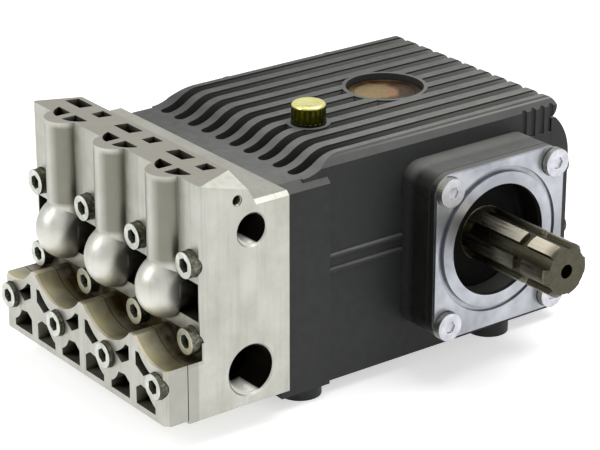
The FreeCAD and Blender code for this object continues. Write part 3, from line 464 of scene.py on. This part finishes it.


# Anthracite paint on sand-cast aluminium: satin and grainy, lighter on top from dust and painted light,
# darker in recesses from dirt and painted shade, and painted in shadow on the housing's side that faces the
# head.
def painted_casting():
    look = bpy.context.scene.pump_look
    material, tree, place = begin("anthracite paint on sand casting")
    facing = add(tree, "parts", add(tree, "facing"))
    spot = add(tree, "parts", place)
    # upward faces are lighter: dust, and painted light from above
    dust_and_top_light = add(tree, "span", facing["Z"], 0.25, 0.9)
    dust_and_top_light = add(tree, "times", dust_and_top_light, patches(tree, place, 22, 0.3, 0.7, 0.72))
    # the upward faces are painted lightest on the drive side, less by the head and on the housing's top:
    # dust, and painted light
    dust_and_top_light = fade(tree, dust_and_top_light, spot["X"], (-70, 60, 0.3, 1.0), (90, 94, 1.0, 0.6))
    dust_and_top_light = fade(tree, dust_and_top_light, spot["Y"], (-72, -60, 0.8, 1.0))
    colour = add(tree, "blend", dust_and_top_light, look.paint, look.paint_dusty_lit)
    # darker in hollows: dirt, and painted shade
    colour = add(tree, "blend", in_hollows(tree, 11, 0.3, 0.8, 0.2), colour, look.paint_dirty_and_shaded)
    # the cooling grooves are painted lighter the nearer they come to the rear, but not round the plate: dust,
    # and painted light against their shade
    flat = add(tree, "scaled", place, (1, 1, 0))
    groove_dust_and_light = fade(tree, between(tree, spot["Z"], *GROOVES, 0.3), spot["Y"], (-70, 40, 0.0, 0.75))
    groove_dust_and_light = fade(tree, groove_dust_and_light, add(tree, "apart", flat, (0, SHAFT.y * MM, 0)), (26, 27, 0, 1))
    groove_dust_and_light = add(tree, "times", groove_dust_and_light, between(tree, spot["X"], -76, 76))
    colour = add(tree, "blend", groove_dust_and_light, colour, "9a9a95")
    # painted shadow on the housing's side that faces the head
    oiled = fade(tree, add(tree, "span", facing["Y"], -0.8, -0.3, 1.0, 0.0), spot["X"], (86, 92, 0, 1))
    # sand grain of about half a millimetre, drawn as 1.1 mm so that it shows
    grain = add(tree, "noise", place, *blotches(1.1, 4.0))
    return surface(material, {
        "Base Color": add(tree, "blend", oiled, colour, look.paint_dirty_and_shaded),
        "Roughness": patches(tree, place, 6, 0.3, 0.7, 0.45, 0.62),
        "Specular IOR Level": 0.25,
        "Normal": add(tree, "bump", grain, 0.12 * MM, 0.55)})


def port_masks(tree, place, across):
    """Masks of the outlets and inlets: outside them, painted shade inside them, and painted light on their
    lower wall.
    """
    # the painted light lies on the lower wall for some way in, and the rest of each port gets painted shade,
    # near black
    deep = add(tree, "span", across, *mm(HEAD_HALF - 20, HEAD_HALF - 11), 1.0, 0.0)
    outside, port_shade, pale = 1.0, 0.0, 0.0
    for _, forward, height, radius, *_ in PORTS[:2]:
        axis = (HEAD_BACK + forward, height)
        clear = add(tree, "span", from_line(tree, place, *axis), *mm(radius + 0.5, radius + 0.8))
        lean = add(tree, "along", add(tree, "offset", place, (0, *mm(*axis))), (0, -0.5, -0.866))
        high = add(tree, "span", lean, *mm(0.6 * radius, 0.88 * radius), 1.0, 0.0)
        inside = add(tree, "minus", 1.0, clear)
        oily = add(tree, "times", inside, add(tree, "larger", high, deep))
        outside = add(tree, "times", outside, clear)
        port_shade = add(tree, "larger", port_shade, oily)
        pale = add(tree, "larger", pale, add(tree, "minus", inside, oily))
    return outside, port_shade, pale


# Satin nickel plate on forged brass: soft and bright, clouded, with painted shade down the barrels and a
# painted light under the domes, brown where oil stays with painted shade in its hollows.
def nickel_plate():
    look = bpy.context.scene.pump_look
    material, tree, place = begin("satin nickel plate")
    spot = add(tree, "parts", place)
    facing = add(tree, "parts", add(tree, "facing"))["Z"]
    across = add(tree, "unsigned", spot["X"])
    colour = add(tree, "blend", patches(tree, place, 24, 0.3, 0.75), look.nickel, look.nickel_dull)
    # run marks of the plating bath, 4 mm wide and drawn long
    streak = patches(tree, add(tree, "stretch", place, (1, 1, 0.06)), 4, 0.5, 0.8, 0.0, 0.5)
    colour = add(tree, "blend", streak, colour, "908f85")
    # the domes are painted lighter underneath, a painted light from below
    ahead = between(tree, spot["Y"], AHEAD, LANDS - 0.6)
    dome_underside_light = fade(tree, ahead, spot["Z"], (70, 74, 0, 1), (78, 97, 1, 0.1), (106, 110, 1, 0))
    colour = add(tree, "blend", dome_underside_light, colour, "eaeae2")
    # the head's ends ahead of the lands get painted shade, and upward faces at its top are darker
    painted_shade_ends = between(tree, spot["Y"], AHEAD, LANDS - 3)
    painted_shade_ends = fade(tree, painted_shade_ends, across, (HEAD_HALF - 1, HEAD_HALF - 0.5, 0, 0.8))
    colour = add(tree, "blend", painted_shade_ends, colour, "9c9c94")
    top = fade(tree, add(tree, "span", facing, 0.85, 0.98), spot["Z"], (140, 162, 0.35, 0.85))
    colour = add(tree, "blend", top, colour, "8f8b80")
    # the barrels stand out of the lands, one round each plunger, and their flanks get painted shade
    barrel = add(tree, "times", between(tree, spot["Z"], *BARRELS, 3), ahead)
    painted_shade_flank = fade(tree, barrel, add(tree, "to and fro", spot["X"], PLUNGER_PITCH / 2 * MM), (1, 7, 0, 1))
    colour = add(tree, "blend", painted_shade_flank, colour, "7e7e73")
    # a brown film of old oil lies round the chambers and in the channels that give a wrench room, most of it
    # at their back; in the hollows it is painted shade too
    film = fade(tree, in_hollows(tree, 34, 0.36, 0.8), spot["Y"], (LANDS - 7, LANDS - 1, 0.12, 0.9))
    channel = between(tree, spot["Z"], *CHANNELS)
    channel = fade(tree, channel, across, (HEAD_HALF - 0.4, HEAD_HALF + 0.1, 1, 0))
    channel = add(tree, "times", channel, between(tree, spot["Y"], LEG_FRONT + 0.6, LANDS + 1))
    channel = add(tree, "times", channel, patches(tree, place, 14, 0.25, 0.6, 0.45))
    outside, port_shade, pale = port_masks(tree, place, across)
    film = add(tree, "times", add(tree, "larger", film, channel), outside)
    # painted shade: the film is darker towards the back
    depth = add(tree, "span", spot["Y"], *mm(LEG_FRONT + 4, LANDS - 5))
    colour = add(tree, "blend", film, colour, add(tree, "blend", depth, "b0a885", look.nickel_film_shaded))
    # the channels' front edge is lighter where it faces up
    rim = between(tree, spot["Y"], LEG_FRONT - 1, LEG_FRONT + 1.6)
    rim = add(tree, "times", rim, between(tree, spot["Z"], CHANNELS[0] - 1, CHANNELS[1]))
    rim = add(tree, "times", rim, add(tree, "span", facing, 0.15, 0.4, 0.0, 0.85))
    colour = add(tree, "blend", rim, colour, "e4d9c4")
    # narrow hollows get oil and painted shade
    dirt_and_shade = add(tree, "times", in_hollows(tree, 9, 0.3, 0.6), outside)
    colour = add(tree, "blend", dirt_and_shade, colour, look.nickel_oily_shaded)
    # painted shade, near black, deep in the ports
    colour = add(tree, "blend", port_shade, colour, "0a0906")
    return surface(material, {
        # painted light, pale and matt, on the ports' lower wall
        "Base Color": add(tree, "blend", pale, colour, "f2efe6"),
        "Metallic": add(tree, "span", pale, 0, 1, 1.0, 0.0),
        "Roughness": patches(tree, place, 9, 0.3, 0.7, 0.36, 0.5),
        "Normal": add(tree, "bump", add(tree, "noise", place, *blotches(1.6)), 0.05 * MM, 0.4)})


# Faced aluminium: fine rings from the lathe on the face, dark paint left on the sides and in the bore,
# painted near black as shade on faces that don't look up and lighter as painted light on those that do, and
# painted shade in the metal's hollows.
def machined_aluminium(name, face):
    look = bpy.context.scene.pump_look
    material, tree, place = begin(name)
    facing = add(tree, "parts", add(tree, "facing"))["Z"]
    outwards = add(tree, "unsigned", add(tree, "parts", place)["X"])
    bare = add(tree, "span", outwards, *mm(face - 2.4, face - 1.9))
    metal = add(tree, "blend", patches(tree, place, 30, 0.34, 0.62), look.aluminium, "94979d")
    # painted shade in the metal's hollows
    metal = add(tree, "blend", in_hollows(tree, 4, 0.2, 0.6, 0.8), metal, "5b5c60")
    # paint painted near black as shade, and lighter on upward faces as painted light
    paint = add(tree, "blend", add(tree, "span", facing, 0.5, 0.95), "0b0b0a", "60615e")
    # the lathe's feed is about 0.2 mm, drawn as 1.2 mm so that it shows
    rings = add(tree, "plus", turning_rings(tree, 1.2), add(tree, "noise", place, *blotches(2)))
    return surface(material, {
        "Base Color": add(tree, "blend", bare, paint, metal),
        "Metallic": bare,
        "Roughness": add(tree, "span", bare, 0, 1, 0.55, 0.33),
        "Specular IOR Level": 0.25,
        "Normal": add(tree, "bump", rings, 0.02 * MM, 0.35)})


# Oiled turning steel: olive film in the spline gaps, bright worn crests with marks along the shaft and a
# painted highlight along one crest, dull end.
def oiled_steel():
    look = bpy.context.scene.pump_look
    material, tree, place = begin("oiled shaft steel")
    along = add(tree, "parts", place)["X"]
    streak = patches(tree, add(tree, "stretch", place, (0.08, 1, 1)), 1.8, 0.35, 0.7)
    film = add(tree, "blend", streak, look.steel, "3b392a")
    worn = add(tree, "blend", streak, look.steel_bright, "c9c0ac")
    # the crest that faces up and forward is painted bright all along as a highlight, and the others keep most
    # of their film with a little wear
    lean = add(tree, "along", add(tree, "offset", place, SHAFT * MM), (0, -0.5, 0.866))
    wear_and_highlight = fade(tree, add(tree, "span", lean, *mm(13.5, 16), 0.22, 1.0),
                 from_line(tree, place, SHAFT.y, SHAFT.z), (16.4, 17.2, 0, 1))
    side = add(tree, "blend", wear_and_highlight, film, worn)
    dull = add(tree, "blend", add(tree, "noise", place, *blotches(5)), "5a564a", "3d3b31")
    dulled = add(tree, "span", along, *mm(SHAFT_END - 9, SHAFT_END - 2), 0.0, 0.7)
    side = add(tree, "blend", dulled, side, dull)
    end = add(tree, "span", along, *mm(SHAFT_END - 0.3, SHAFT_END - 0.1))
    # turning rings on the end, drawn 0.9 mm apart so that they show
    marks = add(tree, "blend", end, streak, turning_rings(tree, 0.9))
    return surface(material, {
        "Base Color": add(tree, "blend", end, side, dull),
        "Metallic": 1.0,
        "Roughness": add(tree, "span", streak, 0, 1, 0.24, 0.42),
        "Normal": add(tree, "bump", marks, 0.02 * MM, 0.4)})


# Ground bearing steel: clean, with fine rings.
def ground_steel():
    material, tree, place = begin("ground bearing steel")
    return surface(material, {
        "Base Color": add(tree, "blend", add(tree, "noise", place, *blotches(8)), "8d8d8b", "6f6f6c"),
        "Metallic": 1.0,
        "Roughness": 0.25,
        "Normal": add(tree, "bump", turning_rings(tree, 1), 0.02 * MM, 0.3)})


# Zinc-plated screw steel: pale and soft, with painted shade in the hexagon socket.
def screw_steel(name, pale, dull, socket):
    material, tree, place = begin(name)
    cloud = patches(tree, place, 5, 0.3, 0.7)
    colour = add(tree, "blend", cloud, pale, dull)
    return surface(material, {
        # painted shade in the socket
        "Base Color": add(tree, "blend", in_hollows(tree, 7, 0.3, 0.62), colour, socket),
        "Metallic": 1.0,
        "Roughness": add(tree, "span", cloud, 0, 1, 0.28, 0.42),
        "Normal": add(tree, "bump", add(tree, "noise", place, *blotches(0.8)), 0.02 * MM, 0.3)})


# Black-oxide knurl of a screw head: dark and oily, with bright rubbed teeth.
def oily_knurl():
    material, tree, place = begin("oily screw knurl")
    rubbed = patches(tree, place, 2, 0.48, 0.75)
    return surface(material, {
        "Base Color": add(tree, "blend", rubbed, "4b4a40", "85857a"),
        "Metallic": 1.0,
        "Roughness": 0.42,
        "Normal": add(tree, "bump", rubbed, 0.03 * MM, 0.4)})


# Nitrile rubber, moulded: matt black with a dusty bloom.
def nitrile_rubber(name):
    material, tree, place = begin(name)
    bloom = patches(tree, place, 4, 0.4, 0.8)
    return surface(material, {
        "Base Color": add(tree, "blend", bloom, "060606", "151512"),
        "Roughness": add(tree, "span", bloom, 0, 1, 0.6, 0.8),
        "Specular IOR Level": 0.08,
        "Normal": add(tree, "bump", add(tree, "noise", place, *blotches(0.7)), 0.03 * MM, 0.4)})


# Fibre gasket sheet, punched: dark, with short fibres along its edge.
def gasket_fibre():
    material, tree, place = begin("fibre gasket sheet")
    fibre = add(tree, "noise", place, *blotches(1.2, 6.0))
    return surface(material, {
        "Base Color": add(tree, "blend", fibre, "1b1a18", "343029"),
        "Roughness": 0.8,
        "Specular IOR Level": 0.25,
        "Normal": add(tree, "bump", fibre, 0.05 * MM, 0.6)})


# Yellow passivated brass, turned: pale straw above a height, olive and darker below it.
def plug_brass(name, height):
    look = bpy.context.scene.pump_look
    material, tree, place = begin(name)
    above_height = add(tree, "span", add(tree, "parts", place)["Z"], *mm(height - 1, height))
    film = patches(tree, place, 5, 0.35, 0.7)
    olive = add(tree, "blend", film, "4a4a10", "2c2c08")
    straw = add(tree, "blend", film, look.plug, "cdc97e")
    return surface(material, {
        "Base Color": add(tree, "blend", above_height, olive, straw),
        "Metallic": 1.0,
        "Roughness": add(tree, "span", film, 0, 1, 0.24, 0.4),
        "Normal": add(tree, "bump", add(tree, "noise", place, *blotches(1)), 0.02 * MM, 0.4)})


# Tarnished brass disc: nearly black with brown patches, gold where the middle is rubbed.
def tarnished_brass():
    look = bpy.context.scene.pump_look
    material, tree, place = begin("tarnished brass")
    # the rubbed spot lies a little to one side, has a ragged edge, and turns to copper on its far side
    away = add(tree, "offset", place, (middle_of_node("type_plate") + Vector((-4, -5, 0))) * MM)
    ragged = add(tree, "times", add(tree, "noise", place, *blotches(9, 4.0)), 11 * MM)
    ragged = add(tree, "plus", add(tree, "size", away), ragged)
    rubbed = add(tree, "span", ragged, *mm(18, 22.5), 0.95, 0.0)
    brown = patches(tree, place, 7, 0.4, 0.7)
    field = add(tree, "blend", brown, look.plate_dark, "4b3622")
    grain = patches(tree, place, 2.2, 0.35, 0.7, 0.0, 0.6)
    gold = add(tree, "blend", grain, look.plate_gold, "5f5630")
    copper = add(tree, "span", add(tree, "along", away, (0.6, 0.8, 0)), *mm(3, 13), 0.0, 0.7)
    gold = add(tree, "blend", copper, gold, "8f5a34")
    return surface(material, {
        "Base Color": add(tree, "blend", rubbed, field, gold),
        "Metallic": 1.0,
        "Roughness": add(tree, "span", rubbed, 0, 1, 0.5, 0.32),
        "Normal": add(tree, "bump", add(tree, "plus", grain, brown), 0.04 * MM, 0.5)})


# Sight glass with oil behind it: clear and glossy over amber.
def oil_glass():
    material, tree, place = begin("sight glass over oil")
    level = middle_of_node("oil_level_glass").z
    above = add(tree, "span", add(tree, "parts", place)["Z"], *mm(level - 0.4, level + 0.4))
    oil = add(tree, "blend", add(tree, "noise", place, *blotches(6)), "8a6a1e", "a9852f")
    return surface(material, {
        "Base Color": add(tree, "blend", above, oil, "b9b7a8"),
        "Roughness": 0.06,
        "IOR": 1.5,
        "Coat Weight": 1.0,
        "Coat Roughness": 0.03})


def seen_directly(tree):
    """1 for camera, glossy and transmission rays, 0 for light that falls on the object."""
    rays = add(tree, "rays")
    seen = add(tree, "larger", rays["Is Camera Ray"], rays["Is Glossy Ray"])
    return add(tree, "larger", seen, rays["Is Transmission Ray"])


# Matt studio paint: a pale floor that keeps the shadow, and looks white to the camera elsewhere.
def floor_paint():
    material, tree, place = begin("matt pale studio paint")
    return surface(material, {
        "Base Color": add(tree, "blend", add(tree, "noise", place, *blotches(400)), "ececec", "e8e8e8"),
        "Roughness": 0.9,
        "Specular IOR Level": 0.2,
        "Emission Color": (1, 1, 1, 1),
        "Emission Strength": add(tree, "times", seen_directly(tree), 0.55)})


FINISHES = {}

# Finish of every CAD node.
NODE_FINISH = {
    "crankcase": "paint", "rear_cover": "paint", "pump_head": "nickel", "suction_plate": "nickel",
    "drive_bearing_housing": "housing", "blind_bearing_cover": "blind", "splined_shaft": "shaft",
    "drive_bearing": "bearing", "shaft_seal": "rubber", "filler_plug_washer": "washer",
    "drain_plug_washer": "washer", "rear_cover_gasket": "gasket", "drive_housing_gasket": "gasket",
    "blind_cover_gasket": "gasket", "suction_plate_gasket": "gasket", "filler_plug": "plug",
    "drain_plug": "drain", "type_plate": "medallion", "oil_level_glass": "glass", "oil_level_ring": "bearing",
}


class PUMP_OT_finishes(bpy.types.Operator):
    """Make the finishes and give one to every CAD node"""

    bl_idname = "pump.finishes"
    bl_label = "Finish the castings and turned parts"

    def execute(self, context):
        FINISHES.update(
            paint=painted_casting(), nickel=nickel_plate(),
            housing=machined_aluminium("faced aluminium of the housing", PLATE_FACE),
            blind=machined_aluminium("faced aluminium of the blind cover", -BLIND_FACE),
            shaft=oiled_steel(), bearing=ground_steel(), knurl=oily_knurl(),
            screw=screw_steel("zinc-plated screw steel", "cfd2ca", "b0b3a9", "2b2a22"),
            pale_screw=screw_steel("blue zinc-plated screw steel", "cdced4", "b4b5bc", "a3a4aa"),
            dull_screw=screw_steel("dulled zinc-plated screw steel", "a3a49c", "85867e", "24231e"),
            rubber=nitrile_rubber("moulded nitrile rubber"), washer=nitrile_rubber("bonded rubber washer"),
            plug=plug_brass("yellow passivated brass", corner("filler_plug", 1).z - 0.9),
            drain=plug_brass("yellow passivated brass of the drain", 0),
            gasket=gasket_fibre(), medallion=tarnished_brass(), glass=oil_glass())
        left = set(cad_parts) - set(NODE_FINISH)
        if left:
            raise RuntimeError("no finish for %s" % sorted(left))
        for name, finish in NODE_FINISH.items():
            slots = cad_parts[name].data.materials
            slots.clear()
            slots.append(FINISHES[finish])
        return {"FINISHED"}


def place_screws(stem, spots, towards, head, socket, finish, rim="knurl"):
    """Copies of one cap screw at spots; head is radius and height, socket is half its width and its depth."""
    first = cap_screw(stem, *head, *socket)
    for number, spot in enumerate(spots, start=1):
        set_down(twin(first, "%s_%d" % (stem, number)), spot, towards, "bearing_steel", finish, rim)
    bpy.data.objects.remove(first)


class PUMP_OT_head_screws(bpy.types.Operator):
    """Two rows of cap screws on the head and one on the suction plate"""

    bl_idname = "pump.head_screws"
    bl_label = "Screw down the head"

    def execute(self, context):
        sizes = context.scene.pump_sizes
        half_outer, half_inner = sizes.outer_span / 2 / MM, sizes.plunger_pitch / 2 / MM
        head = (sizes.screw_radius / MM, sizes.screw_height / MM)
        for stem, front, height in HEAD_ROWS:
            spots = [(across, front, height) for across in (-half_outer, -half_inner, half_inner, half_outer)]
            place_screws(stem, spots, "-Y", head, (4.0, 5.0), "screw")
        return {"FINISHED"}


class PUMP_OT_housing_screws(bpy.types.Operator):
    """Low-head cap screws in the corners of the bearing housing and the blind cover"""

    bl_idname = "pump.housing_screws"
    bl_label = "Screw down the housings"

    def execute(self, context):
        sizes = context.scene.pump_sizes
        head = (sizes.housing_radius / MM, sizes.housing_height / MM)
        side, rise = HOUSING_CORNER
        for stem, face, towards in (("housing_screw", PLATE_FACE - HOUSING_SEAT, "+X"),
                                    ("blind_cover_screw", BLIND_FACE + HOUSING_SEAT, "-X")):
            spots = [(face, BOSS_MIDDLE.y + along, BOSS_MIDDLE.z + up)
                     for along in (-side, side) for up in (-rise, rise)]
            place_screws(stem, spots, towards, head, (3.5, 1.2), "pale_screw", "dull_screw")
        return {"FINISHED"}


class PUMP_OT_cover_screws(bpy.types.Operator):
    """Cap screws round the rear cover"""

    bl_idname = "pump.cover_screws"
    bl_label = "Screw down the rear cover"

    def execute(self, context):
        sizes = context.scene.pump_sizes
        head = (sizes.cover_radius / MM, sizes.cover_height / MM)
        low, high = corner("rear_cover", 0), corner("rear_cover", 1)
        half, lowest, highest = high.x - 10, low.z + 16, high.z - 37
        # the middle row stands a little below half way
        heights = (lowest, (lowest + highest) / 2 - 3, highest)
        spots = [(across, COVER_BACK, height) for across in (-half, half) for height in heights]
        place_screws("cover_screw", spots, "+Y", head, (3.0, 2.8), "dull_screw")
        return {"FINISHED"}


class PUMP_OT_port_threads(bpy.types.Operator):
    """Threads in the outlets, the inlets and the gauge holes"""

    bl_idname = "pump.port_threads"
    bl_label = "Cut the port threads"

    def execute(self, context):
        for stem, forward, height, radius, pitch, depth, turns, recess in PORTS:
            teeth = [(radius - depth * (step % 2), step * pitch / 2) for step in range(2 * turns + 1)]
            outer = radius + 0.4
            first = upright_ring(stem, 48, teeth + [(outer, turns * pitch), (outer, 0)])
            for side, sign, towards in (("right", 1, "-X"), ("left", -1, "+X")):
                spot = (sign * (HEAD_HALF - recess), HEAD_BACK + forward, height)
                set_down(twin(first, "%s_%s" % (stem, side)), spot, towards, "nickel_plate", "nickel")
            bpy.data.objects.remove(first)
        return {"FINISHED"}


class PUMP_OT_filler_cap(bpy.types.Operator):
    """Filler plug with a fluted grip and a chamfered, dished top"""

    bl_idname = "pump.filler_cap"
    bl_label = "Turn the filler plug"

    def execute(self, context):
        sizes = context.scene.pump_sizes
        low, high = corner("filler_plug", 0), corner("filler_plug", 1)
        seat = corner("filler_plug_washer", 1).z
        radius, height = (high.x - low.x) / 2 - 0.2, high.z - seat
        flutes, chamfer = sizes.plug_flutes, sizes.plug_chamfer / MM
        piece = upright_drum("filler_cap", flutes * 4, radius, height)
        pick("edges", lambda e: at_height(e, height))
        bpy.ops.mesh.bevel(offset=chamfer * MM, segments=3)
        pick("faces", lambda f: at_height(f, height))
        sink_in((1.0, 0.0), (0.5, -0.25), (5.0, 0.2))
        # two sides in every four are sunk together, as one flute
        share = pi / (2 * flutes)
        pick("faces", lambda f: is_side(f) and abs(
            (middle_of(f).xy.angle_signed(Vector((1, 0))) / share) % 4 - 1) < 1.1)
        sink_in((0.25, -0.3))
        leave(30)
        middle = middle_of_node("filler_plug")
        set_down(piece, (middle.x, middle.y, seat), "+Z", "plug_brass", "plug")
        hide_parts("filler_plug")
        return {"FINISHED"}


class PUMP_OT_medallion(bpy.types.Operator):
    """Bare round plate with a raised rim and a dished field"""

    bl_idname = "pump.medallion"
    bl_label = "Press the round plate"

    def execute(self, context):
        low, high = corner("type_plate", 0), corner("type_plate", 1)
        radius, height = (high.x - low.x) / 2, high.z - low.z
        piece = upright_drum("medallion", 96, radius, height)
        pick("faces", lambda f: at_height(f, height))
        sink_in((1.4, 0.0), (0.5, -0.5), (2.2, 0.0), (0.4, 0.3), (6.0, 0.1))
        leave(30)
        bevel_edges(piece, 0.15, 30)
        middle = middle_of_node("type_plate")
        set_down(piece, (middle.x, middle.y, low.z), "+Z", "plate_brass", "medallion")
        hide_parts("type_plate")
        return {"FINISHED"}


class PUMP_OT_seal_lip(bpy.types.Operator):
    """Dust lip of the shaft seal, a ring round the shaft"""

    bl_idname = "pump.seal_lip"
    bl_label = "Mould the dust lip"

    def execute(self, context):
        reach = context.scene.pump_sizes.lip_reach / MM
        piece = upright_ring("seal_lip", 72, tuple((radius, reach) for radius in LIP_TIP) + LIP_BACK)
        set_down(piece, (corner("shaft_seal", 1).x, SHAFT.y, SHAFT.z), "+X", "seal_rubber", "rubber")
        return {"FINISHED"}


def area_lamp(name, place, size, power):
    """Soft lamp that looks at the pump; places in metres."""
    data = bpy.data.lights.new(name, "AREA")
    data.shape = "RECTANGLE"
    data.size, data.size_y = size
    data.energy = power
    lamp = bpy.data.objects.new(name, data)
    bpy.context.scene.collection.objects.link(lamp)
    lamp.location = place
    lamp.rotation_euler = (Vector((0, 0, 0.08)) - Vector(place)).to_track_quat("-Z", "Y").to_euler()


class PUMP_OT_stage(bpy.types.Operator):
    """Pale floor, soft studio light and a camera at the photograph's angle"""

    bl_idname = "pump.stage"
    bl_label = "Set up the studio"

    def execute(self, context):
        scene = context.scene
        clear_selection()
        bpy.ops.mesh.primitive_plane_add(size=8, location=(0, 0, 0))
        floor = bpy.context.object
        floor.name = "studio_floor"
        floor.data.materials.append(floor_paint())
        scene.world = bpy.data.worlds.new("studio")
        scene.world.use_nodes = True
        tree = scene.world.node_tree
        tree.nodes.clear()
        strength = add(tree, "span", seen_directly(tree), 0, 1, 0.36, 1.0)
        add(tree, "world", add(tree, "glow", (1, 1, 1, 1), strength))
        area_lamp("top_softbox", (0.2, 0.3, 1.3), (1.0, 1.0), 11)
        area_lamp("right_softbox", (1.3, 0.5, 0.7), (0.6, 0.8), 3)
        area_lamp("head_softbox", (-0.3, -1.2, 0.9), (0.5, 0.9), 7)
        view = bpy.data.cameras.new("camera")
        view.lens = 147.9
        view.sensor_width = 36
        camera = bpy.data.objects.new("camera", view)
        scene.collection.objects.link(camera)
        camera.location = (1.1510, -0.8938, 0.6764)
        camera.rotation_euler = (radians(67.4), 0, radians(53))
        scene.camera = camera
        scene.view_settings.view_transform = "Standard"
        return {"FINISHED"}


class PUMP_PT_dress(bpy.types.Panel):
    """Lists the steps that dress the pump"""

    bl_label = "Plunger pump"
    bl_idname = "PUMP_PT_dress"
    bl_space_type = "VIEW_3D"
    bl_region_type = "UI"
    bl_category = "Pump"

    def draw(self, context):
        for operator in STEPS:
            self.layout.operator(operator.bl_idname)
        for group in (context.scene.pump_sizes, context.scene.pump_look):
            for name in group.__annotations__:
                self.layout.prop(group, name)


STEPS = (PUMP_OT_finishes, PUMP_OT_head_screws, PUMP_OT_housing_screws, PUMP_OT_cover_screws,
         PUMP_OT_port_threads, PUMP_OT_filler_cap, PUMP_OT_medallion, PUMP_OT_seal_lip, PUMP_OT_stage)
CLASSES = (PumpSizes, PumpLook) + STEPS + (PUMP_PT_dress,)


def register():
    for item in CLASSES:
        bpy.utils.register_class(item)
    bpy.types.Scene.pump_sizes = bpy.props.PointerProperty(type=PumpSizes)
    bpy.types.Scene.pump_look = bpy.props.PointerProperty(type=PumpLook)


def unregister():
    del bpy.types.Scene.pump_look
    del bpy.types.Scene.pump_sizes
    for item in reversed(CLASSES):
        bpy.utils.unregister_class(item)


def main():
    register()
    bpy.ops.pump.finishes()
    bpy.ops.pump.head_screws()
    bpy.ops.pump.housing_screws()
    bpy.ops.pump.cover_screws()
    bpy.ops.pump.port_threads()
    bpy.ops.pump.filler_cap()
    bpy.ops.pump.medallion()
    bpy.ops.pump.seal_lip()
    bpy.ops.pump.stage()
    clear_selection()


if __name__ == "__main__":
    main()
